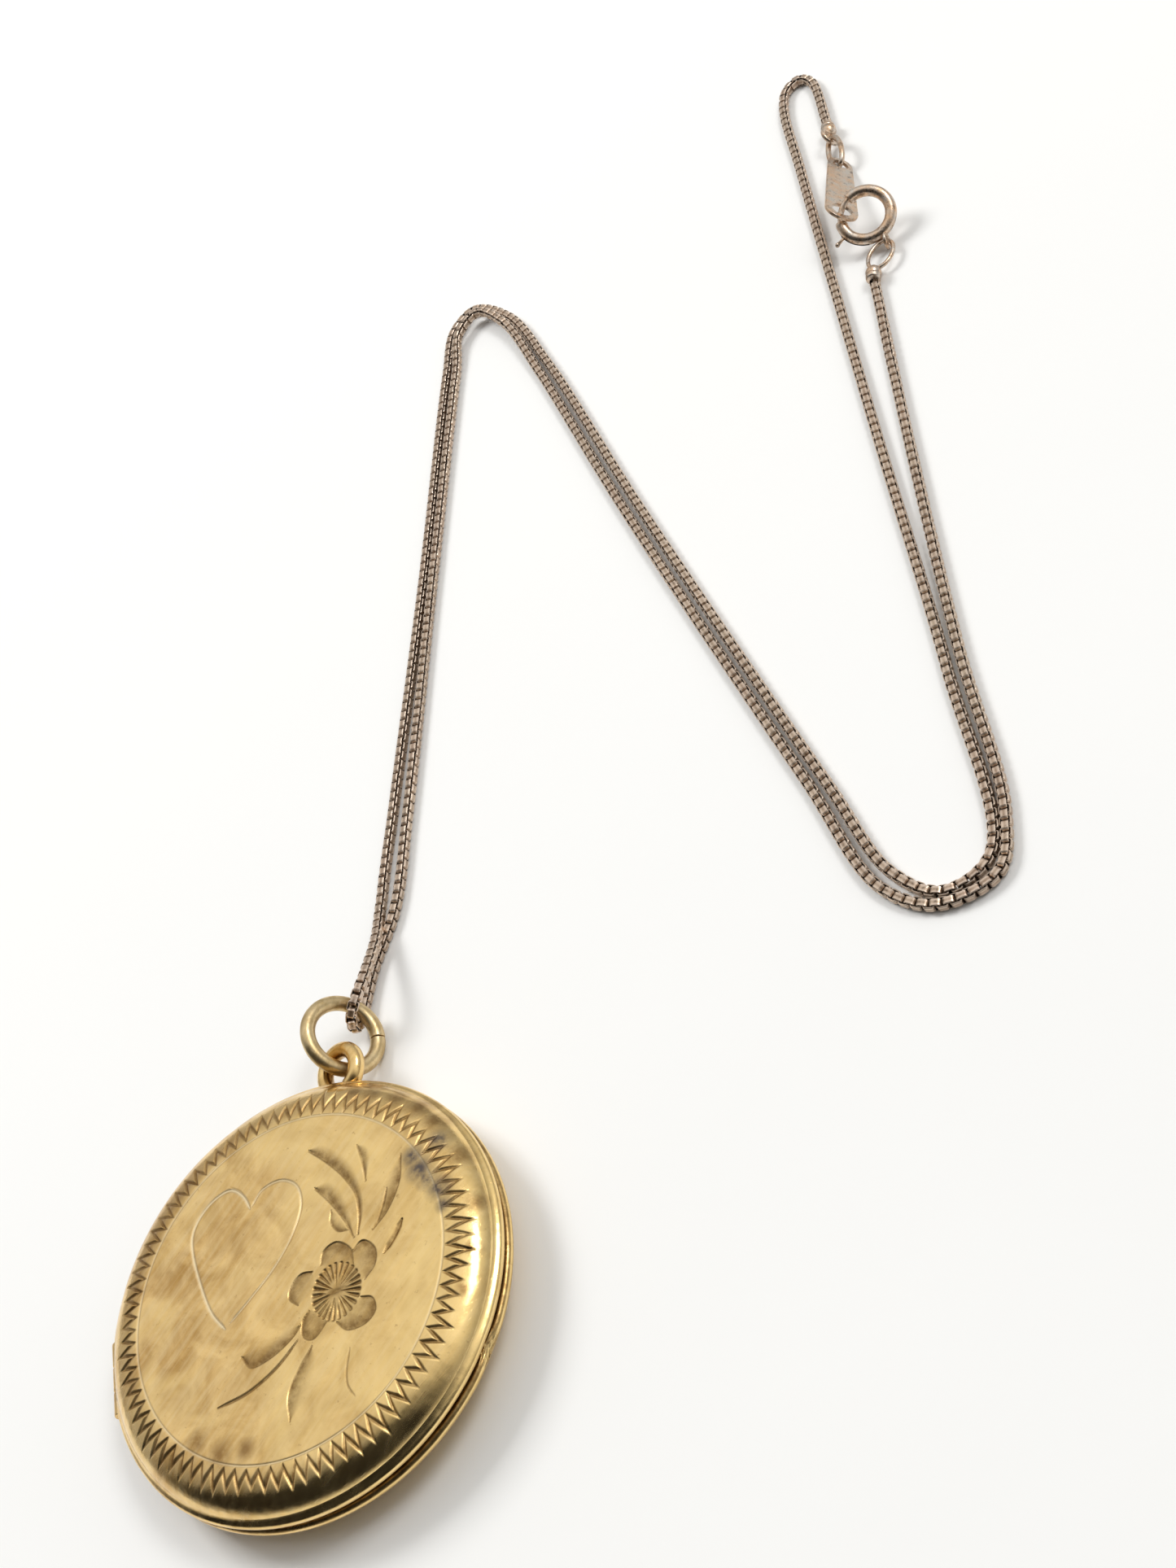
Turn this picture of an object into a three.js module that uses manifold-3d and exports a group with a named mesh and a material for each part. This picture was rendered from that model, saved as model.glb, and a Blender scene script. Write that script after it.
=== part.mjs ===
// Round engraved locket on a fine box chain with a spring-ring clasp.
// Units are millimetres, +Z is up. The origin is the centre of the flat under the
// back cover, +Y points at the bail and the chain lies on the plane z = 0.
import * as THREE from 'three';
import { mergeGeometries, mergeVertices } from 'three/addons/utils/BufferGeometryUtils.js';
import Module from 'manifold-3d';

const wasm = await Module();
wasm.setup();

// ---------------------------------------------------------------- driving sizes
const LOCKET_RADIUS = 15.5;      // outside of the back cover's rolled edge
const FLAT_RADIUS = 12.05;       // flat middle of each cover
const THICKNESS = 5.4;
const SEAM_Z = 2.9;              // parting plane of the two covers
const SEAM_GAP = 0.15;
const SHEET = 0.5;               // thickness of the covers' sheet
const BEAD_RADIUS = 0.38;        // rolled edge of each cover
const SNAP_RADIUS = 14.1;        // outside of the rim that the front snaps over
const SNAP_WALL = 0.35;
const SNAP_HEIGHT = 0.5;         // how far the rim stands above the parting plane
const ROUND_STEPS = 48;          // steps round each lathed piece

const HINGE_ANGLE = THREE.MathUtils.degToRad(198);
const HINGE_REACH = 15.25;       // hinge pin to the locket's centre
const BARREL_RADIUS = 0.55;
const PIN_RADIUS = 0.22;
const KNUCKLE_LENGTH = 1.7;
const KNUCKLE_GAP = 0.15;
const HINGE_LENGTH = 3 * KNUCKLE_LENGTH + 2 * KNUCKLE_GAP;

const NICK_ANGLE = THREE.MathUtils.degToRad(-17.5);

const BAIL = {
  centre: new THREE.Vector3(-0.55, 16.8, 2.75),
  normal: new THREE.Vector3(-0.22, -0.15, 0.96).normalize(),
  loopRadius: 1.6,
  wireRadius: 0.6,
};

const JUMP_RING = {
  centre: new THREE.Vector3(-0.92, 19.68, 2.75),
  normal: new THREE.Vector3(0.79, 0.087, 0.604).normalize(),
  loopRadius: 2.7,
  wireRadius: 0.56,
  slitPoint: new THREE.Vector3(0.62, 20.3, 0.64),
  slitWidth: 0.08,
};

const CHAIN_WIDTH = 0.85;
const CHAIN_REST = 0.44;           // height of the chain's centre line where it lies flat

const CLASP = {
  centre: new THREE.Vector3(38.14, 91.44, 2.2),
  normal: new THREE.Vector3(0.15, -0.46, 0.875).normalize(),
  across: new THREE.Vector3(0.95, 0.31, 0),
  loopRadius: 2.15,
  tubeRadius: 0.5,
  boreRadius: 0.34,
  boltRadius: 0.26,
  // places round the ring, in degrees from its across direction
  gapStart: 112,
  gapEnd: 166,
  boltTip: 108,
  boltTail: 206,
  leverAt: 200,
  leverTravel: 46,
  springEnd: 333,
  boreEnd: 338,
  tagAt: 139,
  eyeAt: 281,
};

const TAG_THICKNESS = 0.3;
const LINK_WIRE_RADIUS = 0.27;

// ---------------------------------------------------------------- materials
const material = (color, roughness, metalness, extra = {}) =>
  new THREE.MeshStandardMaterial({ color, roughness, metalness, ...extra });

const AGED_GOLD = material(0xc8a568, 0.32, 1.0);
const PALE_BRASS = material(0xb2945f, 0.34, 1.0);
const ROSE_SILVER = material(0xbe9b82, 0.36, 1.0);
const OXIDISED = material(0x8c735f, 0.42, 1.0);
const STEEL = material(0x9a9894, 0.4, 1.0);
const CLEAR_FILM = material(0xeef2f0, 0.15, 0.0, { transparent: true, opacity: 0.35 });

const group = new THREE.Group();
group.name = 'locket';

function addNode(name, geometry, mat) {
  const mesh = new THREE.Mesh(geometry, mat);
  mesh.name = name;
  group.add(mesh);
}

// ---------------------------------------------------------------- solids
function toManifold(geometry) {
  const plain = new THREE.BufferGeometry();
  plain.setAttribute('position', geometry.getAttribute('position').clone());
  if (geometry.index) plain.setIndex(geometry.index.clone());
  const merged = mergeVertices(plain, 1e-4);
  return new wasm.Manifold(new wasm.Mesh({
    numProp: 3,
    vertProperties: new Float32Array(merged.getAttribute('position').array),
    triVerts: new Uint32Array(merged.index.array),
  }));
}

function toGeometry(solid) {
  const mesh = solid.getMesh();
  const geometry = new THREE.BufferGeometry();
  geometry.setAttribute('position', new THREE.BufferAttribute(mesh.vertProperties, 3));
  geometry.setIndex(new THREE.BufferAttribute(mesh.triVerts, 1));
  geometry.computeVertexNormals();
  return geometry;
}

// A turned solid: the profile is a list of [radius, z] points.
function turned(profile, steps = ROUND_STEPS) {
  const points = profile.map(([r, z]) => new THREE.Vector2(r, z));
  return new THREE.LatheGeometry(points, steps).rotateX(Math.PI / 2);
}

function cylinder(radius, from, to, sides = 24) {
  const axis = to.clone().sub(from);
  const geometry = new THREE.CylinderGeometry(radius, radius, axis.length(), sides);
  const turn = new THREE.Quaternion().setFromUnitVectors(
    new THREE.Vector3(0, 1, 0), axis.clone().normalize());
  const middle = from.clone().add(to).multiplyScalar(0.5);
  return geometry.applyQuaternion(turn).translate(middle.x, middle.y, middle.z);
}

// A box in the locket's own radial frame: out = away from the centre, along = tangent.
function radialBox(angle, out, along, z) {
  const geometry = new THREE.BoxGeometry(out[1] - out[0], along[1] - along[0], z[1] - z[0]);
  geometry.translate((out[0] + out[1]) / 2, (along[0] + along[1]) / 2, (z[0] + z[1]) / 2);
  return geometry.rotateZ(angle);
}

function radialPoint(angle, out, along, z) {
  return new THREE.Vector3(out, along, z).applyAxisAngle(new THREE.Vector3(0, 0, 1), angle);
}

// Circle in space: at(0) lies along "across", and turns right-handed about the normal.
class SpaceCircle extends THREE.Curve {
  constructor({ centre, normal, across, radius, start = 0, end = 2 * Math.PI }) {
    super();
    const n = normal.clone().normalize();
    const x = across.clone().addScaledVector(n, -across.dot(n)).normalize();
    Object.assign(this, { centre, n, x, y: n.clone().cross(x), radius, start, end });
  }

  at(angle, radius = this.radius) {
    return this.centre.clone()
      .addScaledVector(this.x, radius * Math.cos(angle))
      .addScaledVector(this.y, radius * Math.sin(angle));
  }

  getPoint(t) {
    return this.at(this.start + t * (this.end - this.start));
  }
}

function roundShape(radius, sides) {
  const shape = new THREE.Shape();
  for (let i = 0; i < sides; i++) {
    const angle = (2 * Math.PI * i) / sides;
    const [x, y] = [radius * Math.cos(angle), radius * Math.sin(angle)];
    if (i === 0) shape.moveTo(x, y);
    else shape.lineTo(x, y);
  }
  shape.closePath();
  return shape;
}

// A round bar or wire swept along any curve, with flat ends.
function swept(path, radius, steps, sides) {
  return new THREE.ExtrudeGeometry(roundShape(radius, sides), {
    extrudePath: path, steps, bevelEnabled: false, curveSegments: 1,
  });
}

// A closed ring of wire, made as a torus and turned to its place.
function ringSolid({ centre, normal, loopRadius, wireRadius }, stepsRound = 36, sides = 10) {
  const turn = new THREE.Quaternion().setFromUnitVectors(
    new THREE.Vector3(0, 0, 1), normal.clone().normalize());
  return new THREE.TorusGeometry(loopRadius, wireRadius, sides, stepsRound)
    .applyQuaternion(turn).translate(centre.x, centre.y, centre.z);
}

const degrees = THREE.MathUtils.degToRad;

// ---------------------------------------------------------------- covers
// Points of a quarter-ellipse dome: flat at its inner end, steep at its outer end.
function domePoints(innerRadius, outerReach, flatZ, drop, turnDegrees, steps) {
  const points = [];
  for (let i = 0; i <= steps; i++) {
    const turn = degrees((turnDegrees * i) / steps);
    points.push([
      innerRadius + outerReach * Math.sin(turn),
      flatZ + drop * (1 - Math.cos(turn)),
    ]);
  }
  return points;
}

function beadPoints(radius, z, from, to, steps) {
  const points = [];
  for (let i = 0; i <= steps; i++) {
    const turn = degrees(from + ((to - from) * i) / steps);
    points.push([radius + BEAD_RADIUS * Math.cos(turn), z + BEAD_RADIUS * Math.sin(turn)]);
  }
  return points;
}

const BACK_TOP = SEAM_Z - SEAM_GAP / 2;
const FRONT_BOTTOM = SEAM_Z + SEAM_GAP / 2;

// Shared clearance round the hinge barrel, with the rim flattened beside it.
function hingeRelief() {
  const half = HINGE_LENGTH / 2 + 0.25;
  const pocket = radialBox(HINGE_ANGLE, [14.45, 17], [-half, half], [2.28, 3.52]);
  const flat = radialBox(HINGE_ANGLE, [15.1, 17], [-half, half], [-1, 7]);
  return toManifold(pocket).add(toManifold(flat));
}

// Shallow scoop on the rolled edges where a thumbnail opens the locket.
function thumbNick() {
  const place = radialPoint(NICK_ANGLE, LOCKET_RADIUS + 1.75, 0, BACK_TOP);
  const scoop = new THREE.SphereGeometry(2.1, 20, 10).scale(1, 1, 0.22);
  return toManifold(scoop.translate(place.x, place.y, place.z));
}

function backCover() {
  const beadRadius = LOCKET_RADIUS - BEAD_RADIUS;
  const beadZ = BACK_TOP - BEAD_RADIUS;
  const innerWall = SNAP_RADIUS - SNAP_WALL;
  const rimTop = SEAM_Z + SNAP_HEIGHT;
  const profile = [
    [0, 0],
    ...domePoints(FLAT_RADIUS, 3.08, 0, 2.35, 74, 7),
    ...beadPoints(beadRadius, beadZ, -70, 90, 5),
    [SNAP_RADIUS, BACK_TOP],
    [SNAP_RADIUS, rimTop],
    [innerWall, rimTop],
    ...domePoints(FLAT_RADIUS - 0.3, innerWall - FLAT_RADIUS + 0.3, SHEET, 1.5, 90, 5).reverse(),
    [0, SHEET],
  ];
  return toManifold(turned(profile)).subtract(hingeRelief()).subtract(thumbNick());
}

function frontCover() {
  const beadRadius = LOCKET_RADIUS - 0.05 - BEAD_RADIUS;
  const beadZ = FRONT_BOTTOM + BEAD_RADIUS;
  const innerWall = SNAP_RADIUS + 0.15;
  const roof = THICKNESS - SHEET;
  const profile = [
    [0, roof],
    ...domePoints(FLAT_RADIUS - 0.15, innerWall - FLAT_RADIUS + 0.15, roof, -1.2, 90, 5),
    [innerWall, FRONT_BOTTOM],
    ...beadPoints(beadRadius, beadZ, -90, 70, 5),
    ...domePoints(FLAT_RADIUS, 3.03, THICKNESS, -1.95, 74, 7).reverse(),
    [0, THICKNESS],
  ];
  return toManifold(turned(profile)).subtract(hingeRelief()).subtract(thumbNick());
}

addNode('back_cover', toGeometry(backCover()), AGED_GOLD);
addNode('front_cover', toGeometry(frontCover()), AGED_GOLD);

// ---------------------------------------------------------------- photo frames
function windowDisc(z) {
  return turned([[0, z], [12.9, z], [12.9, z + 0.25], [0, z + 0.25]], 48);
}

addNode('back_window', windowDisc(1.3), CLEAR_FILM);
addNode('front_window', windowDisc(4.25), CLEAR_FILM);

addNode('back_bezel', turned([
  [11.7, 1.65], [13.4, 1.8], [13.6, 2.1], [12.6, 2.45], [11.7, 2.3], [11.7, 1.65],
], 48), AGED_GOLD);

addNode('front_bezel', turned([
  [11.7, 3.6], [14.05, 3.55], [14.05, 3.85], [13.4, 4.15], [11.7, 4.15], [11.7, 3.6],
], 48), AGED_GOLD);

// ---------------------------------------------------------------- hinge
// One knuckle: a bored barrel with a short leaf reaching in under or over the rim.
function knuckle(from, leafZ) {
  const to = from + KNUCKLE_LENGTH;
  const at = (along) => radialPoint(HINGE_ANGLE, HINGE_REACH, along, SEAM_Z);
  const barrel = toManifold(cylinder(BARREL_RADIUS, at(from), at(to), 20));
  const bore = toManifold(cylinder(PIN_RADIUS + 0.05, at(from - 1), at(to + 1), 16));
  const leaf = toManifold(radialBox(HINGE_ANGLE, [14.5, HINGE_REACH], [from, to], leafZ));
  return barrel.add(leaf).subtract(bore);
}

const BACK_LEAF = [SEAM_Z - BARREL_RADIUS, SEAM_Z - 0.15];
const FRONT_LEAF = [SEAM_Z + 0.15, SEAM_Z + BARREL_RADIUS];
const FIRST = -HINGE_LENGTH / 2;
const PITCH = KNUCKLE_LENGTH + KNUCKLE_GAP;

addNode('hinge_knuckle_back_a', toGeometry(knuckle(FIRST, BACK_LEAF)), AGED_GOLD);
addNode('hinge_knuckle_front', toGeometry(knuckle(FIRST + PITCH, FRONT_LEAF)), AGED_GOLD);
addNode('hinge_knuckle_back_b', toGeometry(knuckle(FIRST + 2 * PITCH, BACK_LEAF)), AGED_GOLD);

addNode('hinge_pin', cylinder(
  PIN_RADIUS,
  radialPoint(HINGE_ANGLE, HINGE_REACH, FIRST, SEAM_Z),
  radialPoint(HINGE_ANGLE, HINGE_REACH, -FIRST, SEAM_Z), 16), STEEL);

// ---------------------------------------------------------------- bail and jump ring
// The bail is a thick loop cut flush with the rim, on a small pad soldered to the back.
function bailLoop() {
  const loop = toManifold(ringSolid(BAIL, 28, 12));
  const pad = toManifold(new THREE.BoxGeometry(3.6, 1.4, 1.1).translate(-0.7, 15.5, 2.25));
  const rim = toManifold(turned([
    [0, -1], [LOCKET_RADIUS + 0.05, -1], [LOCKET_RADIUS + 0.05, 7], [0, 7],
  ], 96));
  return loop.add(pad).subtract(rim);
}

addNode('bail_loop', toGeometry(bailLoop()), AGED_GOLD);

function jumpRing() {
  const { centre, normal, loopRadius, wireRadius, slitPoint, slitWidth } = JUMP_RING;
  const half = slitWidth / (2 * loopRadius);
  const arc = new SpaceCircle({
    centre, normal, across: slitPoint.clone().sub(centre),
    radius: loopRadius, start: half, end: 2 * Math.PI - half,
  });
  return swept(arc, wireRadius, 36, 12);
}

addNode('jump_ring', jumpRing(), PALE_BRASS);

// ---------------------------------------------------------------- chain
// The chain folds round the jump ring's wire and both strands run side by side.
const CHAIN_ROUTE = [
  // down from the clasp and round the lower bend, on its outside
  [38.4, 84.6, 0.45], [41.4, 65.8, 0.45], [45.2, 44.0, 0.45], [48.2, 29.6, 0.45],
  [47.6, 25.0, 0.45], [43.6, 23.4, 0.45], [39.6, 25.4, 0.45], [33.8, 35.6, 0.45],
  // up and round the upper bend, on its inside, leaning on the other strand
  [17.2, 65.8, 0.45], [6.0, 87.4, 0.45], [1.6, 95.0, 1.0], [-1.6, 97.5, 1.05],
  [-3.3, 95.6, 0.9], [-3.2, 91.0, 0.45],
  // down to the jump ring, under its wire, round it and back over it
  [-1.75, 65.0, 0.45], [-0.2, 40.0, 0.45], [0.1, 31.6, 0.45], [-0.9, 26.5, 0.5],
  [-1.05, 22.8, 0.66], [-0.95, 21.3, 1.15], [-0.8, 20.95, 2.0], [-0.4, 21.4, 2.9],
  [0.1, 22.6, 3.3], [0.2, 24.4, 2.95], [-0.4, 28.4, 1.5], [-1.2, 32.0, 0.55],
  [-1.7, 42.0, 0.45], [-2.7, 65.0, 0.45],
  // up and round the upper bend, on its outside
  [-4.2, 91.0, 0.45], [-4.2, 96.6, 0.45], [-2.3, 98.7, 0.45], [1.8, 96.1, 0.45],
  [6.9, 88.0, 0.45], [18.4, 66.0, 0.45],
  // down and round the lower bend, on its inside, then up to the clasp's tag
  [35.4, 35.0, 0.45], [40.3, 26.5, 0.45], [43.9, 24.3, 0.45], [47.1, 26.4, 0.45],
  [44.3, 42.6, 0.45], [38.9, 66.7, 0.45], [31.2, 102.2, 0.45], [29.1, 112.6, 0.45],
  [29.4, 115.4, 0.45], [30.9, 115.9, 0.45], [32.4, 113.2, 0.45], [33.6, 107.5, 0.45],
].map(([x, y, z]) => new THREE.Vector3(x, y, z));

// Steps are shared out by route point, so the short bends get their share of them.
class RouteCurve extends THREE.CatmullRomCurve3 {
  getUtoTmapping(u) {
    return u;
  }

  getPoint(t, target) {
    const place = super.getPoint(t, target);
    place.z = Math.max(place.z, CHAIN_REST);
    return place;
  }
}

const chainPath = new RouteCurve(CHAIN_ROUTE, false, 'centripetal');
addNode('box_chain', swept(chainPath, CHAIN_WIDTH / 2, 3 * (CHAIN_ROUTE.length - 1), 8), OXIDISED);

// ---------------------------------------------------------------- chain ends
const X = new THREE.Vector3(1, 0, 0);
const Y = new THREE.Vector3(0, 1, 0);
const Z = new THREE.Vector3(0, 0, 1);
const point = (x, y, z) => new THREE.Vector3(x, y, z);

// An oval of wire: half length and half width are those of the wire's centre line.
class SpaceOval extends THREE.Curve {
  constructor(centre, along, across, halfLength, halfWidth) {
    super();
    const y = along.clone().normalize();
    const x = across.clone().addScaledVector(y, -across.dot(y)).normalize();
    Object.assign(this, { centre, x, y, halfLength, halfWidth });
  }

  getPoint(t) {
    const turn = 2 * Math.PI * t;
    return this.centre.clone()
      .addScaledVector(this.x, this.halfWidth * Math.cos(turn))
      .addScaledVector(this.y, this.halfLength * Math.sin(turn));
  }
}

// A closed wire oval, as rings of points spaced round the oval's centre line.
function ovalWire(oval, wireRadius, steps = 28, sides = 8) {
  const positions = [];
  const index = [];
  const normal = oval.x.clone().cross(oval.y);
  for (let i = 0; i < steps; i++) {
    const middle = oval.getPoint(i / steps);
    const outward = oval.getTangent(i / steps).cross(normal).normalize();
    for (let j = 0; j < sides; j++) {
      const turn = (2 * Math.PI * j) / sides;
      const place = middle.clone()
        .addScaledVector(outward, wireRadius * Math.cos(turn))
        .addScaledVector(normal, wireRadius * Math.sin(turn));
      positions.push(place.x, place.y, place.z);
      const [a, b] = [i * sides + j, i * sides + ((j + 1) % sides)];
      const step = ((i + 1) % steps) * sides - i * sides;
      index.push(a, a + step, b, b, a + step, b + step);
    }
  }
  const geometry = new THREE.BufferGeometry();
  geometry.setAttribute('position', new THREE.Float32BufferAttribute(positions, 3));
  geometry.setIndex(index);
  geometry.computeVertexNormals();
  return geometry;
}

// The crimped cup that holds one end of the chain.
function endCup(at, towards, length) {
  const cup = turned([
    [0, 0], [0.6, 0], [0.68, 0.3 * length], [0.68, 0.6 * length], [0.4, length], [0, length],
  ], 20);
  cup.applyQuaternion(new THREE.Quaternion().setFromUnitVectors(Z, towards.clone().normalize()));
  return toManifold(cup.translate(at.x, at.y, at.z));
}

const claspCircle = new SpaceCircle({ ...CLASP, radius: CLASP.loopRadius });
const claspAt = (angle, radius) => claspCircle.at(degrees(angle), radius);
const eyeCentre = claspAt(CLASP.eyeAt, CLASP.loopRadius + CLASP.tubeRadius + 0.36);

// The clasp end: a cup with a long oval loop that passes through the clasp's eye.
const CLASP_CUP = point(38.35, 84.85, 0.72);
const claspLoopFoot = point(38.45, 86.2, 0.72);
const claspLoop = new SpaceOval(
  claspLoopFoot.clone().add(eyeCentre).multiplyScalar(0.5),
  eyeCentre.clone().sub(claspLoopFoot), X,
  eyeCentre.distanceTo(claspLoopFoot) / 2, 1.05);
addNode('clasp_end_cup',
  toGeometry(endCup(CLASP_CUP, Y, 1.5).add(toManifold(ovalWire(claspLoop, 0.18)))), ROSE_SILVER);

// The tag end: a cup with a round upright loop.
const TAG_CUP = point(33.66, 107.2, 0.72);
const TAG_CUP_WAY = point(0.2, -1, 0).normalize();
const tagLoop = {
  centre: TAG_CUP.clone().addScaledVector(TAG_CUP_WAY, 2.2).setZ(1.02),
  normal: point(0.86, 0.17, 0.5), loopRadius: 0.8, wireRadius: 0.2,
};
addNode('tag_end_cup',
  toGeometry(endCup(TAG_CUP, TAG_CUP_WAY, 1.5).add(toManifold(ringSolid(tagLoop, 24, 8)))),
  ROSE_SILVER);

// ---------------------------------------------------------------- tag and oval link
const tagTop = point(35.1, 100.75, 0.95);
const tagFoot = claspAt(CLASP.tagAt, CLASP.loopRadius);
const tagAlong = tagTop.clone().sub(tagFoot).normalize();
const boltWay = claspCircle.getTangent(CLASP.tagAt / 360);
const tagNormal = boltWay.clone().addScaledVector(tagAlong, -boltWay.dot(tagAlong)).normalize();

// A plain pear-shaped plate with a hole at each end.
function chainTag() {
  const length = tagTop.distanceTo(tagFoot);
  const [wide, narrow] = [1.5, 1.15];
  const lean = Math.asin((wide - narrow) / length);
  const outline = new THREE.Shape();
  outline.absarc(0, 0, wide, Math.PI - lean, 2 * Math.PI + lean, false);
  outline.absarc(0, length, narrow, lean, Math.PI - lean, false);
  for (const [y, radius] of [[0, 0.85], [length, 0.62]]) {
    outline.holes.push(new THREE.Path().absarc(0, y, radius, 0, 2 * Math.PI, true));
  }
  const plate = new THREE.ExtrudeGeometry(outline, {
    depth: TAG_THICKNESS, bevelEnabled: false, curveSegments: 10,
  }).translate(0, 0, -TAG_THICKNESS / 2);
  const side = tagAlong.clone().cross(tagNormal);
  const frame = new THREE.Matrix4().makeBasis(side, tagAlong, tagNormal).setPosition(tagFoot);
  return plate.applyMatrix4(frame);
}

addNode('chain_tag', chainTag(), ROSE_SILVER);

const linkTop = tagLoop.centre.clone().addScaledVector(TAG_CUP_WAY, 0.22).setZ(0.97);
const linkFoot = tagTop.clone().addScaledVector(tagAlong, 0.2);
const ovalLink = new SpaceOval(
  linkTop.clone().add(linkFoot).multiplyScalar(0.5), linkTop.clone().sub(linkFoot),
  point(0.8, 0.15, 0.58), linkTop.distanceTo(linkFoot) / 2, 0.85);
addNode('oval_link', ovalWire(ovalLink, LINK_WIRE_RADIUS), ROSE_SILVER);

// ---------------------------------------------------------------- spring ring clasp
function claspArc(from, to, radius = CLASP.loopRadius) {
  return new SpaceCircle({ ...CLASP, radius, start: degrees(from), end: degrees(to) });
}

// The bent tube: bored for the bolt and its spring, slotted for the lever.
function claspTube() {
  const { gapStart, gapEnd, boreEnd, leverAt, leverTravel, tubeRadius, boreRadius } = CLASP;
  const tube = toManifold(swept(claspArc(gapEnd, gapStart + 360), tubeRadius, 32, 10));
  const bore = toManifold(swept(claspArc(gapEnd - 4, boreEnd), boreRadius, 18, 8));
  const socket = toManifold(swept(claspArc(gapStart - 10, gapStart + 4), boreRadius, 3, 8));
  const slot = toManifold(swept(
    claspArc(leverAt - 6, leverAt + leverTravel + 6, CLASP.loopRadius + 0.42), 0.19, 12, 8));
  return tube.subtract(bore).subtract(socket).subtract(slot);
}

addNode('clasp_tube', toGeometry(claspTube()), ROSE_SILVER);

// The bolt that shuts the ring, with the lever that draws it back.
function claspTrigger() {
  const bolt = toManifold(swept(claspArc(CLASP.boltTip, CLASP.boltTail), CLASP.boltRadius, 18, 10));
  const stem = toManifold(cylinder(
    0.12, claspAt(CLASP.leverAt, CLASP.loopRadius), claspAt(CLASP.leverAt, 3.3), 8));
  const tip = claspAt(CLASP.leverAt, 3.4);
  const pad = new THREE.SphereGeometry(0.28, 12, 8).translate(tip.x, tip.y, tip.z);
  return bolt.add(stem).add(toManifold(pad));
}

addNode('clasp_trigger', toGeometry(claspTrigger()), ROSE_SILVER);

// The coil behind the bolt, wound along the bore.
class BentCoil extends THREE.Curve {
  constructor(from, to, turns, coilRadius) {
    super();
    Object.assign(this, { from, to, turns, coilRadius });
  }

  getPoint(t) {
    const turn = 2 * Math.PI * this.turns * t;
    const angle = this.from + t * (this.to - this.from);
    return claspAt(angle, CLASP.loopRadius + this.coilRadius * Math.cos(turn))
      .addScaledVector(claspCircle.n, this.coilRadius * Math.sin(turn));
  }
}

addNode('clasp_spring',
  swept(new BentCoil(CLASP.boltTail + 3, CLASP.springEnd, 9, 0.2), 0.05, 81, 4), STEEL);

// The eye: a small ring turned to face the chain's loop, cut to sit on the tube.
function claspEye() {
  const eye = toManifold(ringSolid({
    centre: eyeCentre, normal: X, loopRadius: 0.6, wireRadius: 0.15,
  }, 24, 8));
  const seat = toManifold(swept(
    claspArc(CLASP.eyeAt - 30, CLASP.eyeAt + 30), CLASP.tubeRadius + 0.01, 10, 16));
  return eye.subtract(seat);
}

addNode('clasp_eye', toGeometry(claspEye()), ROSE_SILVER);

export default group;
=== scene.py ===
"""Looks of a round engraved locket on its folded box chain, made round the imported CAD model.

Shapes are worked out in millimetres, as in the CAD source, and turned into metres when a mesh is made.
"""

import math

import bpy
import numpy as np
from mathutils import Matrix, Vector


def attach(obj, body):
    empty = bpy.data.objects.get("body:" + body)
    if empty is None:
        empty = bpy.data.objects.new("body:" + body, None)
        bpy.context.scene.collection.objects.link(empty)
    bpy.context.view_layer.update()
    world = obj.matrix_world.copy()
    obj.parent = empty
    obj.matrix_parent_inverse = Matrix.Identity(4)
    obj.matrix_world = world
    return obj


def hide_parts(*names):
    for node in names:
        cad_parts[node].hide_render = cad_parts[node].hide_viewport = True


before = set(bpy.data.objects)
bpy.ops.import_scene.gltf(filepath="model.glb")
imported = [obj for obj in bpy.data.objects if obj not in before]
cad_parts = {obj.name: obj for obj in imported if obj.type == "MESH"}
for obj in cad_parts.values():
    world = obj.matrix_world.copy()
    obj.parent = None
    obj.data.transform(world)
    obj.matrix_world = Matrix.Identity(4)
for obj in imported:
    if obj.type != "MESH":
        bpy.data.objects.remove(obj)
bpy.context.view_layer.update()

MM = 0.001
UP = np.array([0.0, 0.0, 1.0])
RIGHT = np.array([1.0, 0.0, 0.0])
rng = np.random.default_rng(7)

# ---------------- sizes in mm, as in the CAD source
LOCKET_RADIUS = 15.5
FLAT_RADIUS = 12.05
THICKNESS = 5.4
SEAM_Z = 2.9
SEAM_GAP = 0.15
SHEET = 0.5
BEAD_RADIUS = 0.38
SNAP_RADIUS = 14.1
SNAP_WALL = 0.35
SNAP_HEIGHT = 0.5
BACK_TOP = SEAM_Z - SEAM_GAP / 2
FRONT_BOTTOM = SEAM_Z + SEAM_GAP / 2

HINGE_ANGLE = math.radians(198)
HINGE_REACH = 15.25
BARREL_RADIUS = 0.55
KNUCKLE_LENGTH = 1.7
KNUCKLE_GAP = 0.15
HINGE_LENGTH = 3 * KNUCKLE_LENGTH + 2 * KNUCKLE_GAP
NICK_ANGLE = math.radians(-17.5)

BAIL_WIRE = 0.6
RING_RADIUS = 2.7
RING_WIRE = 0.56
CHAIN_WIDTH = 0.85
CHAIN_REST = 0.44

# ---------------- wear, which the CAD model has not
EDGE_WEAR = 0.09                 # how far each rolled edge is worn back from the seam
MOUTH_WEAR = 2.0                 # degrees worn off each end of the clasp's bent tube


def unit(vector):
    vector = np.asarray(vector, float)
    return vector / np.linalg.norm(vector)


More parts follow.
